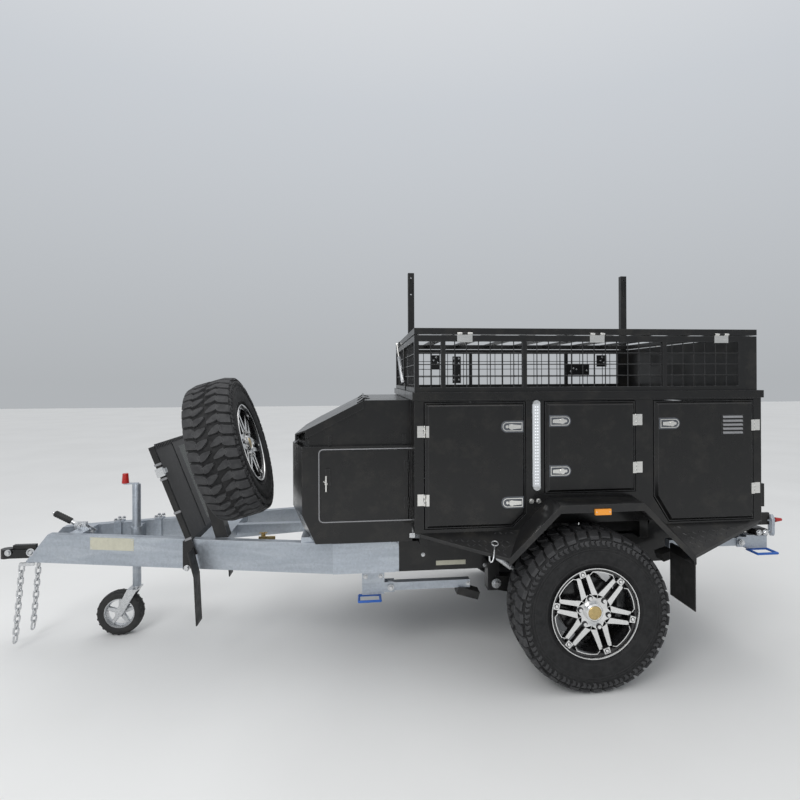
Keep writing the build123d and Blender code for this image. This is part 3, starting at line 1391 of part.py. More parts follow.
def chain(y):
    """A hanging chain of welded links, turned a quarter from one to the next, and its shackle."""
    wire = CHAIN_WIRE
    length = CHAIN_PITCH - 1.0 + 2 * wire
    links = []
    for number in range(CHAIN_LINKS):
        last = number == CHAIN_LINKS - 1
        wide = CHAIN_W + 8 if last else CHAIN_W
        tall = length + 8 if last else length
        z = -4 - length / 2 - number * CHAIN_PITCH - (tall - length) / 2
        outer = RectangleRounded(wide, tall, wide / 2 - 0.5)
        hole = RectangleRounded(wide - 2 * wire, tall - 2 * wire, wide / 2 - wire - 0.5)
        ring = extrude(outer - hole, amount=wire / 2, both=True)
        turn = 90 if number % 2 else 0
        links.append(Pos(0, 0, z) * Rot(0, 0, turn) * Rot(90, 0, 0) * ring)
    lug = block((CHAIN_X - 14, DRAW_FRONT + 60), (y - 8, y + 8), (RAIL_LOW - 18, RAIL_LOW))
    hung = Pos(CHAIN_X, y, RAIL_LOW) * Rot(0, CHAIN_LEAN, 0)
    return fused([lug, *[hung * link for link in links]])


keep("safety_chains", chain(-CHAIN_Y), chain(CHAIN_Y))

# Lamps: the light bar between the doors, the marker on the guard, a reflector and the tail lamps
bar_x0, bar_x1, bar_z0, bar_z1 = LIGHT_BAR
light_y = (-BODY_HALF - LIGHT_OUT, -BODY_HALF)
bar_mid = (bar_x0 + bar_x1) / 2
bar_r = (bar_x1 - bar_x0) / 2
light = block((bar_x0, bar_x1), light_y, (bar_z0 + bar_r, bar_z1 - bar_r))
end_z = (bar_z0 + bar_r, bar_z1 - bar_r)
ends = [rod((bar_mid, light_y[0], z), (bar_mid, light_y[1], z), bar_r) for z in end_z]
light = fused([light, *ends])
marker_x, marker_wide, marker_z, marker_tall = MARKER
marker = block(
    (marker_x - marker_wide / 2, marker_x + marker_wide / 2),
    (-GUARD_OUT - 12, -GUARD_OUT),
    (marker_z - marker_tall / 2, marker_z + marker_tall / 2),
)
reflector = block(REFLECTOR[:2], (-RAIL_HALF - 3, -RAIL_HALF), REFLECTOR[2:])
tail = block((BODY_REAR, BODY_REAR + 25), TAIL_LAMP_Y, TAIL_LAMP_Z)
near_lamps = (light, marker, reflector, tail)
keep("lamps", *near_lamps, *[off_side(lamp) for lamp in near_lamps])

# Recovery lugs at the tail, each with a hanging shackle and its pin
lug_mid = (LUG_Y[0] + LUG_Y[1]) / 2
pin_z = (LUG_Z[0] + LUG_Z[1]) / 2 - 10
ring_tall = SHACKLE_DROP + SHACKLE_WIRE
lug = block((BODY_REAR, LUG_END), LUG_Y, LUG_Z)
outer = RectangleRounded(SHACKLE_W, ring_tall, SHACKLE_W / 2 - 1)
hole_wide = SHACKLE_W - 2 * SHACKLE_WIRE
hole = RectangleRounded(hole_wide, ring_tall - 2 * SHACKLE_WIRE, hole_wide / 2 - 1)
bow = extrude(outer - hole, amount=SHACKLE_WIRE / 2, both=True)
bow_x = LUG_END + SHACKLE_WIRE + 2
bow = Pos(bow_x, lug_mid, SHACKLE_Z) * Rot(0, 0, SHACKLE_TURN) * Rot(90, 0, 0) * bow
shackle_pin = rod((LUG_END - 12, lug_mid, pin_z), (TAIL_X - SHACKLE_HEAD, lug_mid, pin_z), 9.0)
head_x = TAIL_X - SHACKLE_HEAD / 2
pin_head = Pos(head_x, lug_mid, pin_z) * Rot(0, 90, 0) * Cone(15.0, 8.0, SHACKLE_HEAD)
recovery = fused([lug, bow, shackle_pin, pin_head])
keep("recovery_lugs", recovery, off_side(recovery))

for name, solids in pieces.items():
    export_step(Compound(solids), "parts/" + name + ".step")
print(len(pieces), "nodes")
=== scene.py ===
"""Looks of an off-road box camper trailer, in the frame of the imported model.

Lengths are in metres, with X to the tail, Y to the off side and Z up. Places in millimetres are
measured from a point DATUM above the ground under the axle, as in the part's source, and at()
turns them into metres.
"""

import math

import bmesh
import bpy
from mathutils import Matrix, Vector


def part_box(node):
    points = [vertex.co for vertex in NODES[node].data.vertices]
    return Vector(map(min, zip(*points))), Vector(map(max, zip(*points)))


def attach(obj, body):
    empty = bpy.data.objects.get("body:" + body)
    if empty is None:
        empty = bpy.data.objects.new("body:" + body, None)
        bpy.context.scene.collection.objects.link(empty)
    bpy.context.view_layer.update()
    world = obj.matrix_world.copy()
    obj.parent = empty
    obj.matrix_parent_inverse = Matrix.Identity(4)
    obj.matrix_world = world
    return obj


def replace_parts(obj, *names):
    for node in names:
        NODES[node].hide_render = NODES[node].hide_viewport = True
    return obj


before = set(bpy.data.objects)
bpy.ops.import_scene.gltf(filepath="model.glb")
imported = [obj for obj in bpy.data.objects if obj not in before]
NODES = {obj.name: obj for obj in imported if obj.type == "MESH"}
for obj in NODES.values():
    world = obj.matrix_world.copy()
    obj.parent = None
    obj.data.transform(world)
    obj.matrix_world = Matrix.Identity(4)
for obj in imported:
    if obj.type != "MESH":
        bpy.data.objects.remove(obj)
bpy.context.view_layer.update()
MM = 0.001
DATUM = 15.0
AXLE = sum(corner.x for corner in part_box("rim_left")) / 2
SIDES = ("left", "right")


def at(x, y, z):
    """A place in metres from millimetres measured from the datum under the axle."""
    return Vector((AXLE + x * MM, y * MM, (z + DATUM) * MM))


# Camera, worked out from the photograph
CAMERA_AT = at(-1201, -3592, 1614)
CAMERA_YAW = math.radians(5.93)
CAMERA_ROLL = math.radians(-0.26)
CAMERA_LENS = 24.35
CAMERA_SHIFT = (-0.0205, -0.0264)


def make_camera():
    """The level camera that looks at the near side."""
    forward = Vector((math.sin(CAMERA_YAW), math.cos(CAMERA_YAW), 0))
    right = Vector((math.cos(CAMERA_YAW), -math.sin(CAMERA_YAW), 0))
    up = Vector((0, 0, 1))
    across = right * math.cos(CAMERA_ROLL) + up * math.sin(CAMERA_ROLL)
    rise = up * math.cos(CAMERA_ROLL) - right * math.sin(CAMERA_ROLL)
    data = bpy.data.cameras.new("camera")
    data.lens = CAMERA_LENS
    data.shift_x, data.shift_y = CAMERA_SHIFT
    camera = bpy.data.objects.new("camera", data)
    turn = Matrix((across, rise, -forward)).transposed()
    camera.matrix_world = Matrix.Translation(CAMERA_AT) @ turn.to_4x4()
    bpy.context.scene.collection.objects.link(camera)
    bpy.context.scene.camera = camera


make_camera()


# Materials


class Nodes:
    """The nodes of a material or the world, with short ways to add more."""

    def __init__(self, owner, output):
        owner.use_nodes = True
        self.tree = owner.node_tree
        self.shader = self.tree.nodes[output]

    def feed(self, socket, value):
        """Link a value to a socket, or set the socket to a plain value."""
        if isinstance(value, bpy.types.NodeSocket):
            self.tree.links.new(value, socket)
        else:
            socket.default_value = value

    def fix(self, **values):
        """Feed sockets of the shader, named with _ for a space."""
        for socket, value in values.items():
            self.feed(self.shader.inputs[socket.replace("_", " ")], value)

    def node(self, kind, settings=None, *values, **named):
        """A node of a kind, with its settings, and its sockets fed in order or by name."""
        node = self.tree.nodes.new(kind)
        for key, value in (settings or {}).items():
            setattr(node, key, value)
        for socket, value in zip(node.inputs, values):
            self.feed(socket, value)
        for key, value in named.items():
            self.feed(node.inputs[key], value)
        return node

    def ramp(self, value, *stops):
        """A value turned into colours or tones at the stops, each a place and a colour or tone."""
        node = self.node("ShaderNodeValToRGB", Fac=value)
        bar = node.color_ramp.elements
        while len(bar) < len(stops):
            bar.new(0.5)
        for element, (place, tone) in zip(bar, stops):
            element.position = place
            element.color = (*tone, 1) if isinstance(tone, tuple) else (tone, tone, tone, 1)
        return node.outputs["Color"]


class Paint(Nodes):
    """A material under construction."""

    def __init__(self, name, color, rough=0.5, metal=0.0, coat=0.0, spec=0.5):
        self.material = bpy.data.materials.new(name)
        super().__init__(self.material, "Principled BSDF")
        self.fix(Base_Color=(*color, 1), Roughness=rough, Metallic=metal, Coat_Weight=coat)
        self.fix(Specular_IOR_Level=spec)
        self.place = self.node("ShaderNodeTexCoord").outputs["Object"]
        self.last_bump = None

    def stretched(self, x, y, z):
        """Object coordinates scaled by an amount along each axis."""
        return self.node("ShaderNodeMapping", Vector=self.place, Scale=(x, y, z)).outputs["Vector"]

    def noise(self, scale, detail=2.0, rough=0.5, where=None, warp=0.0):
        """Cloudy noise, from 0 to 1, with about scale lumps to the metre."""
        sockets = {"Scale": scale, "Detail": detail, "Roughness": rough, "Distortion": warp}
        return self.node("ShaderNodeTexNoise", Vector=where or self.place, **sockets).outputs["Fac"]

    def patches(self, noise, low, high, top):
        """A mask of cloudy patches: 0 where the noise is under low, top where it is over high."""
        return self.ramp(self.noise(*noise), (low, 0.0), (high, top))

    def blend(self, share, first, second, mode="MIX"):
        """Two colours mixed by a share."""
        node = self.node("ShaderNodeMix", {"data_type": "RGBA", "blend_type": mode})
        for number, value in ((0, share), (6, first), (7, second)):
            self.feed(node.inputs[number], (*value, 1) if isinstance(value, tuple) else value)
        return node.outputs[2]

    def rubbed(self, base, bare, radius, share):
        """A colour that turns into the bare one, by a share, along the edges of the piece."""
        rounded = self.node("ShaderNodeBevel", {"samples": 4}, Radius=radius).outputs["Normal"]
        flat = self.node("ShaderNodeNewGeometry").outputs["Normal"]
        turned = self.node("ShaderNodeVectorMath", {"operation": "DOT_PRODUCT"}, rounded, flat)
        edge = self.ramp(turned.outputs["Value"], (0.9, 1.0), (0.995, 0.0))
        worn = self.node("ShaderNodeMath", {"operation": "MULTIPLY"}, edge, share).outputs[0]
        return self.blend(worn, base, bare)

    def color(self, value):
        """The base colour."""
        self.fix(Base_Color=value)

    def gloss(self, pattern, low, high):
        """Roughness that follows a pattern from low to high."""
        self.fix(Roughness=self.ramp(pattern, (0.3, low), (0.7, high)))

    def bump(self, height, strength, distance):
        """Small relief added to the relief that is there."""
        node = self.node("ShaderNodeBump", Height=height, Strength=strength, Distance=distance)
        if self.last_bump:
            self.feed(node.inputs["Normal"], self.last_bump)
        self.last_bump = node.outputs["Normal"]
        self.fix(Normal=self.last_bump)


def scaled(color, gain):
    """A colour with each of its parts multiplied."""
    return tuple(gain * value for value in color)


def coated_steel(name, tone, rough, dust=0.25):
    """Black powder coat: fine orange peel, cloudy gloss, dust and rubbed edges."""
    paint = Paint(name, (tone, tone, tone * 1.05), rough, coat=0.3, spec=0.3)
    paint.fix(Coat_Roughness=0.12)
    base = paint.blend(paint.noise(2.2, 5.0, 0.6), (tone * 0.75,) * 3, (tone * 1.3, tone * 1.3, tone * 1.35))
    base = paint.blend(paint.patches((9.0, 8.0, 0.7), 0.5, 0.8, dust), base, (0.075, 0.068, 0.055))
    paint.color(paint.rubbed(base, (0.13, 0.13, 0.135), 0.0025, paint.noise(60.0, 4.0, 0.6)))
    paint.gloss(paint.noise(5.0, 6.0, 0.65), rough - 0.06, rough + 0.1)
    paint.bump(paint.noise(650.0, 2.0), 0.09, 0.0004)
    return paint.material


# Tones of hot dip zinc: dull, plain and bright
ZINC_TONES = ((0.40, 0.44, 0.49), (0.48, 0.52, 0.57), (0.56, 0.60, 0.64))
SPANGLE = 95.0


def galvanised_steel(name="galvanised_zinc", lift=1.0):
    """Hot dip zinc: pale blue-grey spangle, long run marks and dull patches."""
    paint = Paint(name, (0.52, 0.55, 0.58), 0.42, metal=0.72)
    cells = paint.node("ShaderNodeTexVoronoi", Vector=paint.place, Scale=SPANGLE).outputs["Color"]
    runs = paint.noise(7.0, 6.0, 0.6, paint.stretched(0.35, 1.0, 2.5), 0.6)
    tone = paint.ramp(runs, *zip((0.3, 0.55, 0.75), [scaled(tone, lift) for tone in ZINC_TONES]))
    tone = paint.blend(1.0, tone, paint.ramp(cells, (0.0, 0.82), (1.0, 1.0)), "MULTIPLY")
    paint.color(paint.rubbed(tone, (0.78, 0.79, 0.80), 0.003, 0.35))
    paint.fix(Roughness=paint.ramp(cells, (0.0, 0.34), (1.0, 0.52)))
    paint.bump(paint.noise(140.0, 3.0), 0.10, 0.0006)
    paint.bump(paint.noise(12.0, 3.0), 0.12, 0.002)
    return paint.material


def mottled(name, color, other, patches, gloss, grain, **plain):
    """A finish with cloudy patches of another colour, cloudy gloss and a fine grain.

    Each of the last three begins with the noise it follows: then come patches()'s, gloss()'s
    and bump()'s own numbers.
    """
    paint = Paint(name, color, **plain)
    paint.color(paint.blend(paint.patches(*patches), color, other))
    paint.gloss(paint.noise(*gloss[0]), *gloss[1:])
    paint.bump(paint.noise(*grain[0]), *grain[1:])
    return paint.material


def bright_zinc(name, color=(0.66, 0.67, 0.68), rough=0.28):
    """Bright plated steel with faint mottling."""
    gloss = ((120.0, 3.0), rough - 0.08, rough + 0.12)
    patches = ((80.0, 5.0, 0.6), 0.4, 0.75, 0.8)
    grain = ((400.0, 3.0), 0.08, 0.0003)
    return mottled(name, color, scaled(color, 0.72), patches, gloss, grain, rough=rough, metal=0.95)


def polished_steel():
    """Polished stainless steel with hairline brushing along X."""
    paint = Paint("polished_stainless", (0.80, 0.79, 0.76), 0.16, metal=1.0)
    lines = paint.noise(300.0, 3.0, 0.6, paint.stretched(0.04, 1.0, 1.0))
    paint.color(paint.ramp(lines, (0.3, (0.70, 0.69, 0.66)), (0.7, (0.86, 0.85, 0.82))))
    paint.gloss(lines, 0.12, 0.26)
    paint.bump(lines, 0.05, 0.0002)
    return paint.material


def tyre_rubber(name, tone, dry):
    """Tyre rubber: dull black with a dry bloom and rubbed edges."""
    paint = Paint(name, (tone,) * 3, 0.72, spec=0.4)
    bloom = paint.patches((18.0, 8.0, 0.7), 0.4, 0.75, 0.6)
    base = paint.blend(bloom, (tone, tone, tone * 1.05), (dry, dry, dry * 1.02))
    paint.color(paint.rubbed(base, (dry * 2,) * 3, 0.003, 0.30))
    paint.gloss(paint.noise(45.0, 5.0), 0.58, 0.84)
    paint.bump(paint.noise(420.0, 4.0, 0.6), 0.22, 0.0006)
    return paint.material


def machined_alloy():
    """Diamond-cut alloy: bright and finely mottled."""
    paint = Paint("machined_alloy", (0.80, 0.80, 0.80), 0.2, metal=1.0)
    fine = paint.noise(90.0, 4.0, 0.6)
    paint.color(paint.ramp(fine, (0.3, (0.74, 0.74, 0.74)), (0.7, (0.86, 0.86, 0.85))))
    paint.gloss(fine, 0.14, 0.27)
    paint.bump(paint.noise(900.0, 2.0), 0.05, 0.0002)
    return paint.material


def coated_cloth():
    """Heavy coated cloth: crossed threads, soft sheen and pale rubbed folds."""
    paint = Paint("coated_cloth", (0.02, 0.02, 0.022), 0.6)
    paint.fix(Sheen_Weight=0.15)
    scuff = paint.patches((22.0, 8.0, 0.7), 0.5, 0.8, 0.5)
    paint.color(paint.blend(scuff, (0.016, 0.016, 0.018), (0.07, 0.07, 0.072)))
    for way in ((1.0, 1.0, 0.25), (1.0, 0.25, 1.0)):
        paint.bump(paint.noise(900.0, 1.0, 0.5, paint.stretched(*way)), 0.3, 0.0004)
    return paint.material


def lens(name, color, glow=0.0):
    """A moulded lamp lens with fine ribs."""
    paint = Paint(name, color, 0.18, coat=0.6)
    ribs = paint.node("ShaderNodeTexWave", Vector=paint.place, Scale=90.0).outputs["Fac"]
    paint.color(paint.blend(ribs, scaled(color, 0.75), color))
    paint.bump(ribs, 0.25, 0.0006)
    if glow:
        paint.fix(Emission_Color=(*color, 1), Emission_Strength=glow)
    return paint.material


def plain_coat(name, color, rough=0.4):
    """A coloured coat with cloudy gloss."""
    paint = Paint(name, color, rough)
    paint.color(paint.blend(paint.noise(40.0, 5.0, 0.6), scaled(color, 0.75), color))
    paint.gloss(paint.noise(60.0, 4.0), rough - 0.1, rough + 0.12)
    paint.bump(paint.noise(500.0, 2.0), 0.06, 0.0003)
    return paint.material


COAT = coated_steel("black_powder_coat", 0.006, 0.28)
FRAME_COAT = coated_steel("black_frame_coat", 0.007, 0.4, 0.3)
CHECKER = coated_steel("black_checker_plate", 0.012, 0.34, 0.4)
GALV = galvanised_steel()
ZINC = bright_zinc("bright_zinc")
CHROME = polished_steel()
DULL_STEEL = bright_zinc("dull_steel", (0.16, 0.17, 0.19), 0.35)
PLATE_GALV = galvanised_steel("galvanised_plate", 1.16)
RUBBER = tyre_rubber("tyre_rubber", 0.010, 0.030)
TREAD = tyre_rubber("tread_rubber", 0.032, 0.085)
SOFT_RUBBER = mottled(
    "moulded_rubber", (0.02, 0.02, 0.02), (0.06, 0.058, 0.052), rough=0.55, spec=0.4,
    patches=((14.0, 7.0, 0.65), 0.42, 0.8, 0.5), gloss=((30.0, 4.0), 0.45, 0.70),
    grain=((500.0, 3.0), 0.15, 0.0004),
)
ALLOY = machined_alloy()
# The rims' black gloss paint, with a little brake dust
RIM_BLACK = mottled(
    "rim_black", (0.009, 0.009, 0.01), (0.07, 0.062, 0.05), rough=0.22, coat=0.4,
    patches=((30.0, 7.0, 0.7), 0.48, 0.85, 0.35), gloss=((40.0, 4.0), 0.14, 0.37),
    grain=((300.0, 2.0), 0.04, 0.0003),
)
CLOTH = coated_cloth()
BRASS = bright_zinc("yellow_brass", (0.62, 0.47, 0.22), 0.3)
BLUE = plain_coat("blue_coat", (0.015, 0.12, 0.5), 0.35)
RED = plain_coat("red_plastic", (0.5, 0.02, 0.015), 0.3)
AMBER = lens("amber_lens", (0.9, 0.33, 0.02), 0.15)
RED_LENS = lens("red_lens", (0.5, 0.01, 0.01))
CLEAR_LENS = lens("clear_lens", (0.72, 0.74, 0.76))
LED = lens("white_lamps", (0.90, 0.92, 0.96), 0.35)
CREAM = plain_coat("cream_plastic", (0.62, 0.60, 0.48), 0.35)
# Pale grey: the stone guard's clips in their own colour; on the nose door bead and the vent's louvre lips, a
# painted highlight
GREY_TRIM_AND_HIGHLIGHT = plain_coat("grey_trim_and_painted_highlight", (0.30, 0.30, 0.31), 0.35)
WINDOW = plain_coat("clouded_window", (0.055, 0.062, 0.052), 0.25)


# Mesh building


def inset(points, by):
    """An anticlockwise outline with each of its sides moved in by a distance."""
    moved = []
    for number, point in enumerate(points):
        last, after = Vector(points[number - 1]), Vector(points[(number + 1) % len(points)])
        point = Vector(point)
        way_in = (point - last).normalized()
        way_out = (after - point).normalized()
        first = Vector((-way_in.y, way_in.x))
        second = Vector((-way_out.y, way_out.x))
        moved.append(point + (first + second) * (by / max(0.25, 1 + first.dot(second))))
    return moved


def anticlockwise(points):
    """The outline turned so that it runs anticlockwise."""
    area = sum(a[0] * b[1] - b[0] * a[1] for a, b in zip(points, list(points[1:]) + [points[0]]))
    return list(points) if area > 0 else list(points)[::-1]


def four(across, up):
    """The corners of a rectangle, anticlockwise from the low one, from its two ranges."""
    return [(across[0], up[0]), (across[1], up[0]), (across[1], up[1]), (across[0], up[1])]


def circle(count, radius=1.0):
    """Points round a circle in a plane, from angle 0 on."""
    angles = [2 * math.pi * number / count for number in range(count)]
    return [(radius * math.cos(angle), radius * math.sin(angle)) for angle in angles]


def outwards(spot, depth):
    """The place a depth further out, on the near side or on a wheel's face."""
    return spot + Vector((0, -depth, 0))


# Stands a plane of X and Z up, with its normal towards minus Y
SIDE = Matrix(((1, 0, 0, 0), (0, 0, -1, 0), (0, 1, 0, 0), (0, 0, 0, 1)))


class Shape:
    """Corners and faces of one piece, with a material number for each face."""

    def __init__(self):
        self.verts = []
        self.faces = []
        self.slots = []

    def add(self, verts, faces, slot=0):
        """Add corners, and faces that number them from 0."""
        base = len(self.verts)
        self.verts += [Vector(vert) for vert in verts]
        self.faces += [[base + number for number in face] for face in faces]
        self.slots += [slot] * len(faces)

    def join(self, other, place):
        """Add a moved copy of another shape."""
        base = len(self.verts)
        self.verts += [place @ vert for vert in other.verts]
        self.faces += [[base + number for number in face] for face in other.faces]
        self.slots += other.slots

    def rings(self, rings, slot=0, closed=False, caps=True, cap_slot=None):
        """Faces between rings of as many points each, with the ends closed."""
        count = len(rings[0])
        verts = [point for ring in rings for point in ring]
        faces = []
        spans = len(rings) if closed else len(rings) - 1
        for row in range(spans):
            here, there = row * count, ((row + 1) % len(rings)) * count
            for number in range(count):
                after = (number + 1) % count
                faces.append((here + number, here + after, there + after, there + number))
        self.add(verts, faces, slot)
        if caps and not closed:
            slot = slot if cap_slot is None else cap_slot
            self.add(rings[0], [list(range(count))[::-1]], slot)
            self.add(rings[-1], [list(range(count))], slot)

    def prism(self, outline, low, high, place=Matrix.Identity(4), chamfer=0.0, slot=0, top=None):
        """An outline in a plane, pushed from low to high along the plane's normal."""
        outline = [Vector(point) for point in anticlockwise(outline)]
        if chamfer:
            small = inset(outline, chamfer)
            steps = [(small, low), (outline, low + chamfer), (outline, high - chamfer), (small, high)]
        else:
            steps = [(outline, low), (outline, high)]
        rings = [[place @ Vector((p.x, p.y, level)) for p in points] for points, level in steps]
        self.rings(rings, slot, cap_slot=top)

    def box(self, low, high, place=Matrix.Identity(4), chamfer=0.0, slot=0):
        """A box between two corners."""
        across, deep, up = [sorted(pair) for pair in zip(low, high)]
        self.prism(four(across, deep), *up, place, chamfer, slot)

    def rod(self, start, end, radius, sides=24, chamfer=0.0, slot=0, end_radius=None):
        """A round or many-sided bar from one point to another."""
        start, end = Vector(start), Vector(end)
        length = (end - start).length
        turn = (end - start).normalized().to_track_quat("Z", "Y").to_matrix()
        last = radius if end_radius is None else end_radius
        steps = [(0.0, radius), (length, last)]
        if chamfer:
            steps = [(0.0, radius - chamfer), (chamfer, radius)]
            steps += [(length - chamfer, last), (length, last - chamfer)]
        rings = []
        for far, wide in steps:
            rings.append([start + turn @ Vector((x, y, far)) for x, y in circle(sides, wide)])
        self.rings(rings, slot)

    def pipe(self, points, radius, sides=10, closed=False, slot=0):
        """A round wire that follows points."""
        points = [Vector(point) for point in points]
        count = len(points)
        rings = []
        side = None
        for number, point in enumerate(points):
            last, after = number - 1, (number + 1) % count
            if not closed:
                last, after = max(last, 0), min(number + 1, count - 1)
            along = (points[after] - points[last]).normalized()
            if side is None:
                side = along.orthogonal().normalized()
            side = (side - along * side.dot(along)).normalized()
            up = along.cross(side)
            rings.append([point + (side * x + up * y) * radius for x, y in circle(sides)])
        self.rings(rings, slot, closed)

    def lathe(self, profile, sides=96, slot=0, closed=False, place=Matrix.Identity(4)):
        """A profile of (y, radius) points turned about the Y axis."""
        rings = []
        for along, radius in profile:
            rings.append([place @ Vector((x, along, z)) for z, x in circle(sides, radius)])
        self.rings(rings, slot, closed, caps=False)

    def nut(self, point, way, across, height, slot=0):
        """A hexagon head with a round washer under it."""
        point, way = Vector(point), Vector(way).normalized()
        self.rod(point, point + way * height * 0.25, across * 0.75, 20, slot=slot)
        self.rod(point + way * height * 0.25, point + way * height, across * 0.56, 6, height * 0.15, slot)


def make(name, shape, body, slot, *materials, sharp=35.0):
    """A piece from a shape, riding on a body, with its materials. The slot argument is not used."""
    mesh = bpy.data.meshes.new(name)
    mesh.from_pydata([tuple(vert) for vert in shape.verts], [], shape.faces)
    for material in materials:
        mesh.materials.append(material)
    mesh.polygons.foreach_set("material_index", shape.slots)
    work = bmesh.new()
    work.from_mesh(mesh)
    bmesh.ops.remove_doubles(work, verts=work.verts, dist=0.00002)
    bmesh.ops.recalc_face_normals(work, faces=work.faces)
    work.to_mesh(mesh)
    work.free()
    mesh.polygons.foreach_set("use_smooth", [True] * len(mesh.polygons))
    mesh.set_sharp_from_angle(angle=math.radians(sharp))
    piece = bpy.data.objects.new(name, mesh)
    bpy.context.scene.collection.objects.link(piece)
    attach(piece, body)
    return piece


EDGE = 0.0015


def finish_node(name, material):
    """Give a CAD node its material and soft edges."""
    node = NODES[name]
    node.data.materials.clear()
    node.data.materials.append(material)
    weld = node.modifiers.new("weld", "WELD")
    weld.merge_threshold = 0.00005
    bevel = node.modifiers.new("bevel", "BEVEL")
    bevel.width = EDGE
    bevel.segments = 2
    bevel.limit_method = "ANGLE"
    bevel.angle_limit = math.radians(32)
    bevel.use_clamp_overlap = True
    bevel.harden_normals = True


# Wheels

TYRE_LOW, TYRE_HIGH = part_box("tyre_left")
TYRE_R = (TYRE_HIGH.z - TYRE_LOW.z) / 2
TYRE_HALF = (TYRE_HIGH.y - TYRE_LOW.y) / 2
TYRE_MID = (TYRE_HIGH.y + TYRE_LOW.y) / 2
GROOVE = 0.014
PITCHES = 40
BEAD_R = 0.2365
# The tyre's wall from the tread's edge on: in from the half width and the radius, height of the lugs
TYRE_WALL = (
    (0.050, 0.001, GROOVE), (0.026, 0.005, GROOVE), (0.011, 0.014, 0.013), (0.004, 0.030, 0.010),
    (0.001, 0.050, 0.006), (0.0, 0.072, 0.004), (0.0, 0.074, 0.0), (0.0015, 0.078, 0.0), (0.001, 0.100, 0.0),
    (0.004, 0.130, 0.0), (0.010, 0.152, 0.0), (0.011, 0.158, 0.0), (0.018, 0.163, 0.0),
)


class TyreSkin:
    """The tyre's outer line over its lugs, from the middle of the tread to the bead."""

    def __init__(self):
        # Distance from the middle plane, radius, height of the lugs there
        self.line = [(0.0, TYRE_R, GROOVE)]
        self.line += [(TYRE_HALF - aside, TYRE_R - down, lug) for aside, down, lug in TYRE_WALL]
        self.line += [(TYRE_HALF - 0.024, BEAD_R, 0.0)]
        self.far = [0.0]
        for first, second in zip(self.line, self.line[1:]):
            self.far.append(self.far[-1] + math.hypot(second[0] - first[0], second[1] - first[1]))
        # Where the tread turns into the wall
        self.shoulder = self.far[3]

    def spot(self, share, turn, lift):
        """A point: share across the half tread, turn round the wheel, lift from groove to lug top."""
        way = 1 if share >= 0 else -1
        far = min(abs(share) * self.shoulder, self.far[-1])
        number = 0
        while number < len(self.far) - 2 and far > self.far[number + 1]:
            number += 1
        first, second = self.line[number], self.line[number + 1]
        part = (far - self.far[number]) / (self.far[number + 1] - self.far[number])
        along, radius, height = [first[i] + part * (second[i] - first[i]) for i in range(3)]
        slope = Vector((second[0] - first[0], second[1] - first[1])).normalized()
        along += slope.y * height * (1 - lift)
        radius -= slope.x * height * (1 - lift)
        angle = 2 * math.pi * turn / PITCHES
        return Vector((radius * math.sin(angle), way * along, radius * math.cos(angle)))


# Lugs as rows across the tread: share of the half tread, then the turn at each side in pitches
LUG_ROOT = ((0.49, 0.20, 0.56), (0.56, 0.00, 0.72), (0.64, 0.04, 0.83), (1.0, 0.24, 0.97))
SHOULDER_LUGS = ((*LUG_ROOT, (1.14, 0.26, 0.93)), (*LUG_ROOT, (1.06, 0.26, 0.93)))
CENTRE_LUG = (
    (-0.60, 0.10, 0.24), (-0.50, 0.02, 0.60), (-0.34, -0.10, 0.53), (-0.20, -0.12, 0.33), (-0.03, -0.13, 0.05),
)
SIDE_BITERS = (
    ((1.18, 0.10, 0.46), (1.26, 0.26, 0.56), (1.40, 0.18, 0.36)),
    ((1.18, 0.60, 0.92), (1.25, 0.74, 0.98), (1.36, 0.68, 0.84)),
)
LUG_CHAMFER = 0.022
# Lift of a lug's shoulders, between its foot and its top
LUG_EDGE = 0.85


def add_lug(shape, skin, rows, pitch, flip, low=-0.1):
    """One lug: chamfered top, walls and ends; flip turns it half round the tread's middle."""
    ends = {0: LUG_CHAMFER * 0.6, len(rows) - 1: -LUG_CHAMFER * 0.6}
    rings = []
    for number, (share, left, right) in enumerate(rows):
        step = ends.get(number, 0.0)
        ring = [
            (share, left - 0.02, low),
            (share, left, LUG_EDGE),
            (share + step, left + LUG_CHAMFER, 1.0),
            (share + step, right - LUG_CHAMFER, 1.0),
            (share, right, LUG_EDGE),
            (share, right + 0.02, low),
        ]
        if flip:
            ring = [(-place, 0.5 - turn, lift) for place, turn, lift in ring]
        rings.append([skin.spot(place, turn + pitch, lift) for place, turn, lift in ring])
    shape.rings(rings, 1)


# Thin raised rings on the tyre's walls: their radii, and how far they stand out
WALL_RINGS = (0.338, 0.326, 0.262)
RING_OUT = 0.0026
TYRE_SIDES = 120


def tyre_shape():
    """A mud terrain tyre about the Y axis."""
    skin = TyreSkin()
    shape = Shape()
    unit = 1 / skin.shoulder
    shares = [far * unit for far in skin.far]
    profile = []
    for share in [-value for value in reversed(shares[1:])] + shares:
        spot = skin.spot(share, 0, 0.0)
        profile.append((spot.y, spot.z))
    profile += [(TYRE_HALF - 0.03, BEAD_R - 0.018), (-TYRE_HALF + 0.03, BEAD_R - 0.018)]
    shape.lathe(profile, TYRE_SIDES, closed=True)
    wall = [step / 100 for step in range(100, int(shares[-1] * 100))]
    ring = [(-0.003, -0.0040), (RING_OUT, -0.0018), (RING_OUT, 0.0018), (-0.003, 0.0040)]
    for radius in WALL_RINGS:
        share = min(wall, key=lambda value: abs(skin.spot(value, 0, 0.0).z - radius))
        for way in (-1, 1):
            y = skin.spot(way * share, 0, 0.0).y
            shape.lathe([(y + way * out, radius + up) for out, up in ring], TYRE_SIDES, closed=True)
    for pitch in range(PITCHES):
        for flip in (False, True):
            add_lug(shape, skin, SHOULDER_LUGS[pitch % 2], pitch, flip)
            add_lug(shape, skin, CENTRE_LUG, pitch, flip)
            for rows in SIDE_BITERS:
                add_lug(shape, skin, rows, pitch, flip, 0.0)
    return shape


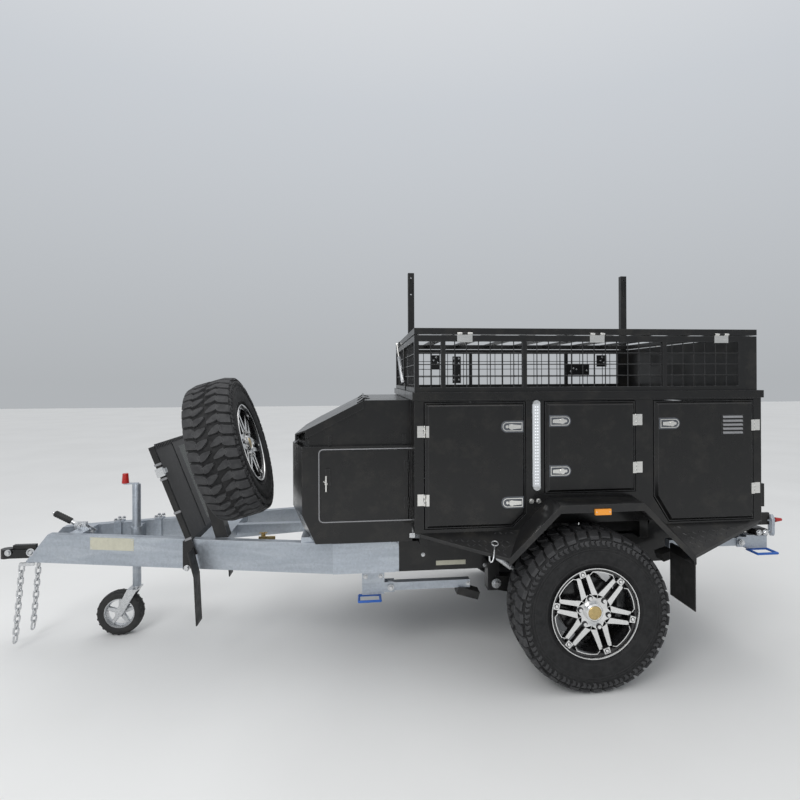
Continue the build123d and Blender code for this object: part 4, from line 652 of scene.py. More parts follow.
# Rim: depths from the wheel's middle plane, with the face at minus Y, then radii
LIP_Y = -0.126
LIP_BACK = LIP_Y + 0.004
CHANNEL_Y = -0.112
FACE_Y = -0.104
CAP_Y = FACE_Y - 0.010
BACK_Y = 0.122
LIP_IN, LIP_OUT = 0.229, 0.237
CHANNEL_R = (0.2165, 0.226)
WELL_R = 0.220
WINDOW_R = 0.211
PAD_R = 0.209
BARREL_R = 0.205
HUB_R = 0.094
NUT_R = 0.078
CAP_R = 0.045
CAP_DISH = 0.034
SPOKES = 6
SPOKE_PHASE = 48.0
# One bar of a twin spoke in the wheel's plane: along the spoke, across it
SPOKE_BAR = (
    (0.088, 0.0135), (0.196, 0.0135), (0.199, 0.0365), (0.120, 0.0425), (0.0825, 0.0475), (0.060, 0.035),
)
SPOKE_DEEP = 0.03
PAD = ((-0.017, -0.0195), (0.016, -0.0175), (0.016, 0.0175), (-0.017, 0.0195))
PAD_FACE = -CHANNEL_Y + 0.002
# The machined line round a window's outer end: its width, radii and start in degrees
LINE_W = 0.0045
LINE_CORNER = (0.2075, 13.2)
LINE_R = 0.213
LINE_START = 14.8
# Brake drum and hub: place along the axle, radius
DRUM = (
    (-0.050, 0.001), (-0.050, 0.070), (-0.034, 0.080), (-0.034, 0.150),
    (-0.028, 0.160), (0.045, 0.165), (0.050, 0.160), (0.050, 0.040),
)


def window_line():
    """The outline of the machined line round a window, in the wheel's plane."""
    middle = 180 / SPOKES
    along, across = SPOKE_BAR[2]
    line = [(along, math.degrees(math.atan2(across, along))), LINE_CORNER]
    line += [(LINE_R, LINE_START + step * (middle - LINE_START) / 4) for step in range(5)]
    line += [(radius, 2 * middle - angle) for radius, angle in reversed(line[:-1])]
    edges = [(radius + LINE_W / 2, math.radians(angle)) for radius, angle in line]
    edges += [(radius - LINE_W / 2, math.radians(angle)) for radius, angle in reversed(line)]
    return [(radius * math.cos(angle), radius * math.sin(angle)) for radius, angle in edges]


def rim_shape():
    """The twin-spoke alloy rim: machined face, black sides, lip, pads, nuts and cap."""
    shape = Shape()
    black, bright, gold = 0, 1, 2
    lip = [(LIP_BACK, LIP_IN), (LIP_Y, LIP_IN + 0.002), (LIP_Y, LIP_OUT - 0.002), (LIP_BACK, LIP_OUT)]
    barrel = [
        (LIP_BACK, LIP_OUT), (LIP_Y + 0.012, LIP_OUT), (LIP_Y + 0.014, WELL_R), (BACK_Y - 0.012, WELL_R),
        (BACK_Y - 0.010, LIP_OUT), (BACK_Y, LIP_OUT), (BACK_Y, 0.214), (0.060, BARREL_R), (-0.060, BARREL_R),
        (FACE_Y + 0.022, WINDOW_R), (FACE_Y, WINDOW_R), (CHANNEL_Y, CHANNEL_R[0]), (CHANNEL_Y, CHANNEL_R[1]),
        (LIP_BACK, LIP_IN),
    ]
    hub = [
        (FACE_Y + 0.006, 0.001), (FACE_Y + 0.006, 0.058), (FACE_Y, 0.070), (FACE_Y, 0.090),
        (FACE_Y + 0.004, HUB_R),
    ]
    hub_back = [(FACE_Y + 0.004, HUB_R), (FACE_Y + 0.05, HUB_R), (FACE_Y + 0.06, 0.001)]
    cap = [(FACE_Y + 0.01, CAP_R + 0.002), (CAP_Y + 0.003, CAP_R), (CAP_Y, CAP_R - 0.004), (CAP_Y, 0.036)]
    dish = [(CAP_Y + 0.003, CAP_DISH), (CAP_Y, 0.031), (CAP_Y - 0.002, 0.018), (CAP_Y - 0.003, 0.0005)]
    for profile, slot in ((lip, bright), (barrel, black), (hub, bright), (hub_back, black)):
        shape.lathe(profile, slot=slot)
    shape.lathe(cap + dish[:1], 64, bright)
    shape.lathe(dish, 64, gold)
    for number in range(SPOKES):
        place = SIDE @ Matrix.Rotation(math.radians(SPOKE_PHASE + number * 360 / SPOKES), 4, "Z")
        for way in (-1, 1):
            bar = [(along, way * across) for along, across in SPOKE_BAR]
            shape.prism(bar, -FACE_Y - SPOKE_DEEP, -FACE_Y, place, 0.0015, black, bright)
        pad = [(PAD_R + along, across) for along, across in PAD]
        shape.prism(pad, -FACE_Y - 0.02, PAD_FACE, place, 0.0015, black, bright)
        bolt = place @ Vector((PAD_R, 0, PAD_FACE))
        shape.rod(bolt, outwards(bolt, 0.001), 0.0115, 20, slot=black)
        shape.rod(bolt, outwards(bolt, 0.004), 0.0085, 20, 0.001, slot=bright)
        nut = place @ Vector((NUT_R, 0, -FACE_Y))
        shape.rod(outwards(nut, -0.004), outwards(nut, 0.0012), 0.0155, 24, slot=black)
        shape.rod(nut, outwards(nut, 0.012), 0.0105, 6, 0.001, slot=bright)
        shape.prism(window_line(), -FACE_Y - 0.012, -CHANNEL_Y + 0.0015, place, 0.0, black, bright)
    return shape


tyre_form = tyre_shape()
rim_form = rim_shape()
drum_form = Shape()
drum_form.lathe(DRUM, 72)


def dress_wheel(tyre, rim, body, place, *more):
    """Put the tyre and rim, with more forms behind the spokes, in place of a wheel's plain nodes."""
    shape = Shape()
    shape.join(tyre_form, place)
    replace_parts(make(tyre + "_tread", shape, body, "tyre", RUBBER, TREAD), tyre)
    shape = Shape()
    for form in (rim_form, *more):
        shape.join(form, place)
    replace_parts(make(rim + "_face", shape, body, "rim", RIM_BLACK, ALLOY, BRASS), rim)


for side, middle, turn in (("left", TYRE_MID, 0.0), ("right", -TYRE_MID, math.pi)):
    hub = Matrix.Translation((AXLE, middle, TYRE_R)) @ Matrix.Rotation(turn, 4, "Z")
    dress_wheel("tyre_" + side, "rim_" + side, "wheel_" + side, hub, drum_form)

SPARE_LEAN = math.radians(15.6)
spare_low, spare_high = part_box("spare_rim")
spare_place = Matrix.Translation((spare_low + spare_high) / 2)
spare_place = spare_place @ Matrix.Rotation(-SPARE_LEAN, 4, "Y") @ Matrix.Rotation(math.pi / 2, 4, "Z")
dress_wheel("spare_tyre", "spare_rim", "trailer", spare_place)

# Plain nodes and their finishes
DOORS = [f"door_{place}_{side}" for side in SIDES for place in ("front", "middle", "rear")]
NOSE_DOORS = [f"nose_door_{side}" for side in SIDES]
LEGS = [f"stabiliser_{end}_{side}" for side in SIDES for end in ("front", "rear")]
FINISHES = {
    COAT: ("side_walls", "end_walls", "wheel_tubs", "floor", "partitions", "roof", "nose_box", "nose_lid",
           "rear_door", *NOSE_DOORS, *DOORS),
    FRAME_COAT: ("chassis_rails", "chassis_crossmembers", "suspension_arms", "basket_sides", "basket_ends",
                 "rack_lid", "rack_posts", "spare_carrier", "stone_guard", "strut_feet", "coupling"),
    CHECKER: ("guards",),
    PLATE_GALV: ("drawbar_plates",),
    GALV: ("drawbar_rails", "stabiliser_brackets", *LEGS, "recovery_lugs", "jockey_tube"),
    ZINC: ("jockey_leg", "safety_chains", "strut_cylinder_front", "strut_cylinder_rear"),
    CHROME: ("fixed_hinges", "strut_rod_front", "strut_rod_rear"),
    SOFT_RUBBER: ("rubber_flaps", "jockey_wheel", "air_springs"),
    CLOTH: ("stone_cloth",),
    CLEAR_LENS: ("lamps",),
}
for material, names in FINISHES.items():
    for name in names:
        finish_node(name, material)


# Materials by place on the CAD nodes
BODY_HALF = 745.0
BODY_REAR = 1057.0
PAN_FACE = BODY_HALF + 14.0
LATCH_FLAT = PAN_FACE + 5.0
# A touch, past a face or either way of it
SKIN = 0.3
FAR = 9999.0
HINGE_REACH = 26.0
HINGE_HALF = 31.0
# Pins of the side doors' hinges as x and z, and heights of the rear door's
SIDE_HINGES = ((-864, 1334), (-864, 972), (309, 1384), (309, 1122), (1007, 1346), (1007, 991))
REAR_HINGES = (980, 1330)


def about(middle, reach):
    """The range that reaches as far on both sides of a place."""
    return (middle - reach, middle + reach)


# Patches with a material of their own, for each node: the material, then ranges in millimetres of
# x, y and z, and of out, which is y either way. The first patch that holds a face counts.
VENT = {"x": (800, 945), "z": (1290, 1410)}
DOOR_PATCHES = [
    # Outer lips of the vent's louvres: pale grey as painted highlights; the rest of the vent stays black
    (GREY_TRIM_AND_HIGHLIGHT, {"out": (PAN_FACE + 3.0, FAR), **VENT}),
    (COAT, VENT),
    (DULL_STEEL, {"out": about(LATCH_FLAT, SKIN)}),
    (CHROME, {"out": (PAN_FACE + 0.5, FAR)}),
]
for x, z in SIDE_HINGES:
    hinge = {"x": about(x, HINGE_REACH), "z": about(z, HINGE_HALF), "out": (BODY_HALF + SKIN, FAR)}
    DOOR_PATCHES.append((CHROME, hinge))
REAR_PATCHES = [(CHROME, {"x": (BODY_REAR + 14.5, FAR)})]
for z in REAR_HINGES:
    REAR_PATCHES.append((CHROME, {"x": (BODY_REAR + SKIN, FAR), "y": (575, FAR), "z": about(z, HINGE_HALF)}))
# Black feet of the stowed legs and blue handles under their brackets, front and rear
FRONT, REAR = (-FAR, 0), (0, FAR)
FOOT_PATCHES = [(SOFT_RUBBER, {"x": FRONT, "z": (0, 402)}), (SOFT_RUBBER, {"x": REAR, "z": (0, 641)})]
BRACKET_PATCHES = [(BLUE, {"x": FRONT, "z": (0, 385)}), (BLUE, {"x": REAR, "z": (0, 624)})]
PATCHES = {
    "rear_door": REAR_PATCHES,
    # Amber marker, cream reflector and red tail lamps in black cases; the light bar stays clear
    "lamps": [
        (AMBER, {"out": (929, FAR)}), (CREAM, {"z": (0, 600)}),
        (RED_LENS, {"x": (BODY_REAR + 24.5, FAR)}), (FRAME_COAT, {"x": (BODY_REAR - 1, FAR)}),
    ],
    # Red knob of the crank
    "jockey_tube": [(RED, {"x": (-FAR, -2680), "z": (951.5, FAR)})],
    # Red head of the shackle's pin and black lug; the bow stays zinc
    "recovery_lugs": [(RED, {"x": (1216, FAR)}), (FRAME_COAT, {"x": (-FAR, 1182), "z": (750, FAR)})],
    "stabiliser_brackets": BRACKET_PATCHES,
    # Bright brake lever over the black coupling
    "coupling": [(ZINC, {"z": (640, FAR)})],
    # Black hinges on the nose box; the body's stay bright
    "fixed_hinges": [(COAT, {"x": (-FAR, -900)})],
    **dict.fromkeys(DOORS, DOOR_PATCHES),
    # Bright catches above the nose doors
    **dict.fromkeys(NOSE_DOORS, [(CHROME, {"z": (1240, FAR)})]),
    **dict.fromkeys(LEGS, FOOT_PATCHES),
}


def tone_faces(node, patches):
    """Give each face the material of the first patch that holds its middle."""
    slots = node.data.materials
    for face in node.data.polygons:
        place = node.matrix_world @ face.center
        spot = {"x": (place.x - AXLE) / MM, "y": place.y / MM, "z": place.z / MM - DATUM}
        spot["out"] = abs(spot["y"])
        for material, ranges in patches:
            if all(low < spot[axis] < high for axis, (low, high) in ranges.items()):
                if material.name not in slots:
                    slots.append(material)
                face.material_index = slots.find(material.name)
                break


for name, patches in PATCHES.items():
    tone_faces(NODES[name], patches)


# Small pieces on the body


def both_sides(add):
    """The same form on the near side and, mirrored, on the off side."""
    near, shape = Shape(), Shape()
    add(near)
    for way in (1, -1):
        shape.join(near, Matrix.Scale(way, 4, (0, 1, 0)))
    return shape


# Light bar: its middle line, the lamps' rows and the round ends of its caps
LIGHT_X = -256.5
LIGHT_Z = (1046.0, 1460.0)
LIGHT_FACE = -PAN_FACE
LED_COUNT = 26
LED_HALF = 3.5
END_R = 20.8
END_OFF = 16


def add_light(shape):
    """The rows of small lamps behind the light bar's clear cover, and its two end caps."""
    low, high = LIGHT_Z
    for number in range(LED_COUNT):
        z = low + number * ((high - low) / (LED_COUNT - 1))
        for x in (LIGHT_X - 6, LIGHT_X + 6):
            corner = at(x - LED_HALF, LIGHT_FACE - 0.8, z - LED_HALF)
            shape.box(corner, at(x + LED_HALF, LIGHT_FACE + 0.5, z + LED_HALF))
    for z, way in ((low - END_OFF, -1), (high + END_OFF, 1)):
        arc = circle(24, END_R)[:12] + [(-END_R, 0.0)]
        outline = [at(LIGHT_X + x, 0, z + way * up).xz for x, up in arc]
        shape.prism(outline, -(LIGHT_FACE - 1.5) * MM, BODY_HALF * MM, SIDE, 0.0008, slot=1)


make("light_bar_details", both_sides(add_light), "trailer", "lamp", LED, ZINC)

# Studs on the side wall and screws on the marker: x and z
STUDS = ((-282, 950), (-243, 950))
STUD_R = 11
SCREWS = ((-3, 929), (67, 929))
SCREW_R = 3
SCREW_Y = -942


def add_studs(shape):
    """Round-headed studs on their washers, and the marker's screws."""
    for x, z in STUDS:
        washer = at(x, -BODY_HALF, z)
        head = outwards(washer, 0.0025)
        shape.rod(washer, head, STUD_R * 1.25 * MM, 28, 0.0006)
        shape.rod(head, outwards(washer, 0.007), STUD_R * MM, 28, 0.0025)
    for x, z in SCREWS:
        screw = at(x, SCREW_Y, z)
        shape.rod(screw, outwards(screw, 0.0015), SCREW_R * MM, 16, 0.0006)


make("wall_studs", both_sides(add_studs), "trailer", "chrome", CHROME)


# Checker plate on the guards' flares: bars laid crosswise by turns
# Corners of the near flares: tip, root on the wall, lowest point of the lip
FLARES = (
    ((-909, -745, 796), (-352, -745, 796), (-457, -930, 705)),
    ((1056, -745, 807), (483, -745, 804), (541, -930, 684)),
)
FLARE_SHELF = 0.24
BAR_PITCH = 30.0
BAR_LONG, BAR_WIDE, BAR_HIGH = 12.5, 3.6, 1.7
BAR_SUNK = -0.3
BAR_MARGIN = 17.0


def inside_by(point, corners, margin):
    """Whether a flat point lies inside an anticlockwise outline, a margin from its edges."""
    for corner, after in zip(corners, corners[1:] + corners[:1]):
        edge = after - corner
        if edge.cross(point - corner) / edge.length < margin:
            return False
    return True


def add_bar(shape, middle, turn, on_panel):
    """One raised bar with a crest; on_panel() turns flat millimetres and a height into a place."""
    way = Vector((math.cos(turn), math.sin(turn)))
    side = Vector((-way.y, way.x))
    base = [way * BAR_LONG, side * BAR_WIDE, -way * BAR_LONG, -side * BAR_WIDE]
    crest = [way * BAR_LONG * 0.55, -way * BAR_LONG * 0.55]
    points = [on_panel(middle + spot, BAR_SUNK) for spot in base]
    points += [on_panel(middle + spot, BAR_HIGH) for spot in crest]
    shape.add(points, [(0, 1, 5, 4), (1, 2, 5), (2, 3, 4, 5), (3, 0, 4)])


def add_checker(shape, corners):
    """Raised bars over a flat panel, given by its corners in millimetres from the datum."""
    corners = [Vector(corner) for corner in corners]
    across = (corners[1] - corners[0]).normalized()
    normal = across.cross(corners[2] - corners[0]).normalized()
    if normal.z < 0:
        normal = -normal
    along = normal.cross(across)
    arms = [corner - corners[0] for corner in corners]
    flat = [Vector(point) for point in anticlockwise([(arm.dot(across), arm.dot(along)) for arm in arms])]
    low = [min(point[axis] for point in flat) for axis in (0, 1)]
    high = [max(point[axis] for point in flat) for axis in (0, 1)]

    def on_panel(point, lift):
        """The place of a flat point, lifted off the panel."""
        return at(*(corners[0] + across * point.x + along * point.y + normal * lift))

    for row in range(int((high[1] - low[1]) / BAR_PITCH) + 2):
        for column in range(int((high[0] - low[0]) / BAR_PITCH) + 2):
            middle = Vector((low[0] + column * BAR_PITCH, low[1] + row * BAR_PITCH))
            if inside_by(middle, flat, BAR_MARGIN):
                add_bar(shape, middle, math.radians(45 if (row + column) % 2 else -45), on_panel)


def guard_checker(shape):
    """Checker bars on both facets of each near flare."""
    for tip, root, low in FLARES:
        shelf = [a + FLARE_SHELF * (b - a) for a, b in zip(root, low)]
        add_checker(shape, (tip, shelf, low))
        add_checker(shape, (tip, root, shelf))


make("guard_checker_bars", both_sides(guard_checker), "trailer", "checker", CHECKER, sharp=20.0)


# Chains: round links in place of the plain ones
CHAIN_X = -3240.0
CHAIN_Y = 90.0
CHAIN_TOP = 512.0
CHAIN_LEAN = math.radians(5)
CHAIN_LINKS = 12
CHAIN_PITCH = 38.0
CHAIN_WIRE = 11.0
LINK_WIDE = 38.0
LINK_LONG = CHAIN_PITCH - 1 + 2 * CHAIN_WIRE
LAST_LINK_MORE = 8
HANGER_END = -3169


def link_path(wide, tall):
    """The middle line of a link's wire: two straight sides and two half rounds, up along Z."""
    radius = wide / 2
    straight = tall / 2 - radius
    points = []
    for half in (0, 1):
        for step in range(9):
            angle = math.pi * half + math.pi * step / 8
            up = (1 - 2 * half) * straight + radius * math.sin(angle)
            points.append((radius * math.cos(angle) * MM, 0, up * MM))
    return points


def add_chain(shape, y):
    """A chain that hangs at a place across, each link turned a quarter from the last."""
    hung = Matrix.Translation(at(CHAIN_X, y, CHAIN_TOP)) @ Matrix.Rotation(CHAIN_LEAN, 4, "Y")
    for number in range(CHAIN_LINKS):
        more = LAST_LINK_MORE if number == CHAIN_LINKS - 1 else 0
        z = -4 - LINK_LONG / 2 - number * CHAIN_PITCH - more / 2
        place = hung @ Matrix.Translation((0, 0, z * MM)) @ Matrix.Rotation(math.pi / 2 * (number % 2), 4, "Z")
        path = link_path(LINK_WIDE + more - CHAIN_WIRE, LINK_LONG + more - CHAIN_WIRE)
        shape.pipe([place @ Vector(point) for point in path], CHAIN_WIRE / 2 * MM, 12, closed=True)
    shape.box(at(CHAIN_X - 14, y - 8, CHAIN_TOP - 18), at(HANGER_END, y + 8, CHAIN_TOP), chamfer=0.001)


shape = Shape()
add_chain(shape, -CHAIN_Y)
add_chain(shape, CHAIN_Y)
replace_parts(make("chain_links", shape, "trailer", "zinc", ZINC), "safety_chains")


# Jockey wheel: middle, then half profiles of its tyre, rim and hub as place along the axle, radius
JOCKEY = (-2738.0, 70.0, 125.0)
JOCKEY_TYRE = (
    (-0.028, 0.092), (-0.034, 0.096), (-0.038, 0.108), (-0.038, 0.120), (-0.034, 0.130), (-0.024, 0.137),
    (-0.010, 0.1395), (-0.009, 0.134), (-0.004, 0.134), (-0.003, 0.140),
)
JOCKEY_RIM = ((-0.030, 0.094), (-0.031, 0.089), (-0.022, 0.084), (-0.012, 0.080))
JOCKEY_HUB = ((-0.034, 0.009), (-0.034, 0.022), (-0.020, 0.026))
JOCKEY_SPOKES = 5
JOCKEY_PHASE = 0.3
JOCKEY_SPOKE = ((0.020, -0.013), (0.083, -0.010), (0.083, 0.010), (0.020, 0.013))
JOCKEY_BLOCKS = 24
JOCKEY_BLOCK = ((0.012, -0.006), (0.034, -0.009), (0.034, 0.003), (0.012, 0.006))


def mirrored(half):
    """A profile whose second half repeats the first, seen from the other side."""
    return [*half, *((-along, radius) for along, radius in reversed(half))]


def jockey_shape():
    """The small blocky tyre on a bright rim with five pairs of spokes."""
    shape = Shape()
    place = Matrix.Translation(at(*JOCKEY))
    for profile, sides, slot in ((JOCKEY_TYRE, 72, 0), (JOCKEY_RIM, 72, 1), (JOCKEY_HUB, 40, 1)):
        shape.lathe(mirrored(profile), sides, slot, closed=True, place=place)
    for number in range(JOCKEY_SPOKES):
        angle = 2 * math.pi * number / JOCKEY_SPOKES + JOCKEY_PHASE
        for low in (0.004, -0.012):
            turn = place @ SIDE @ Matrix.Rotation(angle, 4, "Z")
            shape.prism(JOCKEY_SPOKE, low, low + 0.008, turn, 0.002, 1)
    for number in range(JOCKEY_BLOCKS):
        turn = place @ Matrix.Rotation(2 * math.pi * number / JOCKEY_BLOCKS, 4, "Y")
        turn = turn @ Matrix.Rotation(math.pi / 2, 4, "Z")
        for way in (-1, 1):
            shape.prism([(way * along, across) for along, across in JOCKEY_BLOCK], 0.126, 0.1355, turn)
    return shape


jockey_piece = make("jockey_wheel_tyre", jockey_shape(), "jockey_wheel", "rubber", SOFT_RUBBER, ZINC)
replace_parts(jockey_piece, "jockey_wheel")


def rail_half(x):
    """Outer half width of the drawbar at a place along it."""
    return 78 + (min(x, -1360) + 3229) * 422 / 1869


# Bolts of the near side, pointing out of it: x, y, z, size across the flats
BOLTS = (
    (-2204, -336, 524, 24), (-846, -500, 603, 15), (-486, -500, 529, 15), (-585, -498, 427, 16),
    (-1033, -512, 427, 24), (974, -692, 666, 24), (1075, -700, 722, 22), (1112, -700, 722, 22),
    (-1176, -505, 492, 18), (-1090, -505, 492, 18), (-440, -590, 455, 36),
)
# Saddle clamps over the off rail: their places along it
CLAMPS = (-2778.0, -2545.0)


def add_bolts(shape):
    """Hexagon heads with washers at their places on the near side."""
    for x, y, z, across in BOLTS:
        shape.nut(at(x, y, z), (0, -1, 0), across * MM, across * 0.62 * MM)


shape = both_sides(add_bolts)
for clamp_x in CLAMPS:
    for y in (rail_half(clamp_x) + 4, rail_half(clamp_x) - 54):
        for x in (clamp_x - 14, clamp_x + 14):
            shape.nut(at(x, y, 700), (0, 0, 1), 0.017, 0.012)
make("bolt_heads", shape, "trailer", "zinc", ZINC)


# Blank plate on the near rail of the drawbar, with a rivet near each corner
PLATE_X = (-2811.0, -2538.0)
PLATE_Z = (603.0, 676.0)
RIVET_IN = 9


def rail_skin(x, z, out):
    """A place off the outer face of the near drawbar rail."""
    return at(x, -rail_half(x) - out, z)


shape = Shape()
shape.rings([[rail_skin(x, z, out) for x, z in four(PLATE_X, PLATE_Z)] for out in (0.0, 1.2)], 0)
for x in (PLATE_X[0] + RIVET_IN, PLATE_X[1] - RIVET_IN):
    for z in (PLATE_Z[0] + RIVET_IN, PLATE_Z[1] - RIVET_IN):
        shape.rod(rail_skin(x, z, 1.0), rail_skin(x, z, 2.6), 0.0035, 14, 0.0006, 1)
make("rating_plate", shape, "trailer", "zinc", CREAM, ZINC)


# Handles of the nose box doors, which ride on them
HANDLE_X, HANDLE_Y, HANDLE_Z = -1388.0, -616.0, (1001.0, 1088.0)
NOSE_FACE = -600


def add_handle(shape):
    """A slim bar on a short stem, with the little arm of its lock."""
    low, high = HANDLE_Z
    middle = (low + high) / 2
    shape.rod(at(HANDLE_X, HANDLE_Y, low), at(HANDLE_X, HANDLE_Y, high), 0.0055, 16, 0.002)
    shape.rod(at(HANDLE_X, NOSE_FACE, middle), at(HANDLE_X, HANDLE_Y, middle), 0.008, 20)
    arm = HANDLE_Y + 6
    shape.rod(at(HANDLE_X, arm, middle + 6), at(HANDLE_X - 15, arm, middle + 13), 0.0035, 12)


near = Shape()
add_handle(near)
for side, way in (("left", 1), ("right", -1)):
    shape = Shape()
    shape.join(near, Matrix.Scale(way, 4, (0, 1, 0)))
    make("nose_handle_" + side, shape, "nose_door_" + side, "chrome", CHROME)


# Bead round the nose box doors, pale grey as a painted highlight on the lip of the opening: x, z, radius of
# the corner
BEAD = ((-918, 1229, 0), (-1427, 1229, 26), (-1427, 832, 26), (-918, 832, 0))
BEAD_Y = -600.6
SEAM_R = 3.4


def rounded_path(corners, steps=6):
    """The points of an open path whose corners are rounded."""
    points = []
    for number, (x, z, radius) in enumerate(corners):
        here = Vector((x, z))
        if not radius:
            points.append(here)
            continue
        back = (Vector(corners[number - 1][:2]) - here).normalized() * radius
        ahead = (Vector(corners[number + 1][:2]) - here).normalized() * radius
        for step in range(steps + 1):
            share = step / steps
            points.append(here + back * (1 - share) ** 2 + ahead * share ** 2)
    return points


def add_bead(shape):
    """The bead on the near side, whose pale grey is a painted highlight."""
    shape.pipe([at(x, BEAD_Y, z) for x, z in rounded_path(BEAD)], SEAM_R * MM, 10)


make("nose_door_bead_painted_highlight", both_sides(add_bead), "trailer", "body_paint", GREY_TRIM_AND_HIGHLIGHT)


# Brake lever: pin and tip of the lever, then the arm that pulls the cable as x and z
LEVER_PIN = (-2945, 0, 702)
LEVER_TIP = (-3088, 0, 780)
LEVER_ARM = ((-2962, 694), (-2930, 718), (-2862, 672), (-2876, 652))
RIBS = 7

shape = Shape()
lever_low, lever_tip = at(*LEVER_PIN), at(*LEVER_TIP)
lever_way = (lever_tip - lever_low).normalized()
grip_low = lever_low + lever_way * 0.062
shape.rod(grip_low, lever_tip + lever_way * 0.014, 0.0185, 28, 0.005, 1)
for number in range(RIBS):
    rib = grip_low + lever_way * (0.012 + number * 0.014)
    shape.rod(rib, rib + lever_way * 0.006, 0.0196, 28, 0.0015, 1)
shape.rod(lever_tip + lever_way * 0.012, lever_tip + lever_way * 0.026, 0.008, 16, 0.003)
for y in (-20, 17):
    shape.prism([at(x, 0, z).xz for x, z in LEVER_ARM], -(y + 3) * MM, -y * MM, SIDE, 0.0006)
for x, y, z, across, height in ((-2945, -20, 702, 0.022, 0.012), (-2945, 20, 702, 0.022, 0.012),
                                (-2872, -20, 664, 0.018, 0.010)):
    shape.nut(at(x, y, z), (0, y, 0), across, height)
make("brake_lever_grip", shape, "trailer", "zinc", ZINC, SOFT_RUBBER)


# Coupling: bolts through the head and the rings that carry the chains
HEAD_BOLT = (-3353, 33.5, 558)
CARRIER = (-3196, 571)

shape = Shape()
for way in (-1, 1):
    shape.nut(at(HEAD_BOLT[0], way * HEAD_BOLT[1], HEAD_BOLT[2]), (0, way, 0), 0.026, 0.014)
    ring = [at(CARRIER[0] + x, way * 84, CARRIER[1] + z) for x, z in circle(24, 19)]
    shape.pipe(ring, 0.0055, 10, closed=True)
    shape.rod(*(at(CARRIER[0], way * y, CARRIER[1]) for y in (70, 90)), 0.011, 20, 0.002)
make("coupling_bolts", shape, "trailer", "zinc", ZINC)


# Hook with its ring, the air fitting under the guard and the catch at the guard's front tip
HOOK = (
    (-513, -850, 750), (-520, -872, 742), (-529, -900, 727), (-535, -915, 708),
    (-541, -916, 692), (-549, -916, 687), (-556, -916, 696), (-557, -916, 720),
)
RING = (-509, -838, 757)
# The ring lies on the flare: how far it goes in Y and Z for each millimetre down
RING_SLOPE = (-0.897, -0.441)
RING_R = 17
FITTING = ((-468, -705, 640), (-384, -705, 583))
CATCH = (-932, -752, 788)


def add_hook(shape):
    """The near side's hook, fitting and catch."""
    shape.pipe([at(*point) for point in HOOK], 0.0042, 12)
    x, y, z = RING
    ring = [at(x + a, y + b * RING_SLOPE[0], z + b * RING_SLOPE[1]) for a, b in circle(28, RING_R)]
    shape.pipe(ring, 0.0038, 10, closed=True)
    start, end = (at(*point) for point in FITTING)
    way = (end - start).normalized()
    shape.rod(start, end, 0.012, 28, 0.004, end_radius=0.017)
    shape.rod(end, end + way * 0.022, 0.011, 28, 0.002)
    x, y, z = CATCH
    shape.box(at(x - 14, y, z - 12), at(x + 14, -BODY_HALF, z + 12), chamfer=0.0015)
    shape.rod(at(x, y - 6, z), at(x, y + 2, z), 0.006, 16, 0.001)


make("guard_hooks", both_sides(add_hook), "trailer", "zinc", ZINC)

# Angle that clamps the near mud flap under its guard: low corner, high corner, bolts along Y
FLAP_CLAMP = ((532, -927, 634), (546, -702, 683))
FLAP_BOLTS = (-900, -845, -790, -735)


def add_flap_clamp(shape):
    """The near side's angle, with a row of bolts on its face."""
    low, high = FLAP_CLAMP
    shape.box(at(*low), at(*high), chamfer=0.0015)
    for y in FLAP_BOLTS:
        shape.nut(at(high[0], y, 652), (1, 0, 0), 0.013, 0.007, 1)


make("flap_clamps", both_sides(add_flap_clamp), "trailer", "black_steel", FRAME_COAT, ZINC)


# Stone guard: window strip with its black borders, clamps and lacing
GUARD_FOOT = (-2161.0, 597.0)
GUARD_LEAN = math.radians(21.0)


def on_guard(across, up, deep):
    """A place in metres from a place in the leaning guard's own plane, in millimetres."""
    x = GUARD_FOOT[0] - up * math.sin(GUARD_LEAN) + deep * math.cos(GUARD_LEAN)
    z = GUARD_FOOT[1] + up * math.cos(GUARD_LEAN) + deep * math.sin(GUARD_LEAN)
    return at(x, across, z)


def guard_block(shape, across, up, deep, slot=0):
    """A block in the guard's own plane."""
    shape.rings([[on_guard(a, u, level) for a, u in four(across, up)] for level in deep], slot)


CLOTH_BACK = 20.5
# Strips on the back of the cloth: across from and to, up from and to, how far out, material
STRIPS = (
    ((-60, 22), (96, 662), 3.0, 0),
    ((22, 232), (120, 640), 1.2, 1),
    ((232, 328), (96, 662), 3.0, 0),
    ((22, 232), (628, 662), 3.0, 0),
    ((22, 232), (96, 124), 3.0, 0),
)
EYELETS = 26
EYELET_PITCH = 25.6

shape = Shape()
for across, up, out, slot in STRIPS:
    guard_block(shape, across, up, (CLOTH_BACK - 0.3, CLOTH_BACK + out), slot)
for number in range(EYELETS):
    low = -322 + number * EYELET_PITCH
    guard_block(shape, (low, low + 9), (655, 684), (17.0, 24.0))
make("stone_guard_window", shape, "trailer", "cloth", CLOTH, WINDOW)

GUARD_CLIPS = (95, 262, 470, 560)
HINGE_UP = 520
LACES = 4
LACE_PITCH = 32

shape = Shape()
for up in GUARD_CLIPS:
    guard_block(shape, (-338, -300), (up, up + 13), (-19.5, 19.5), 1)
guard_block(shape, (-352, -335), (HINGE_UP - 26, HINGE_UP + 26), (-22, 22))
guard_block(shape, (-349, -310), (HINGE_UP - 14, HINGE_UP + 14), (18, 30))
for number in range(LACES):
    a = 322 - number * LACE_PITCH
    for ends in (((a, 88, 24), (a - 30, 64, 18)), ((a - 30, 90, 24), (a, 62, 18))):
        start, end = (on_guard(*point) for point in ends)
        shape.pipe([start, (start + end) / 2 + Vector((0.004, 0, 0)), end], 0.0028, 8)
make("stone_guard_clamps", shape, "trailer", "zinc", ZINC, GREY_TRIM_AND_HIGHLIGHT)


# Water tap on its bracket, inside the near drawbar rail: the bracket, the body's axis and the lever
TAP_X, TAP_Y = -1778, -296

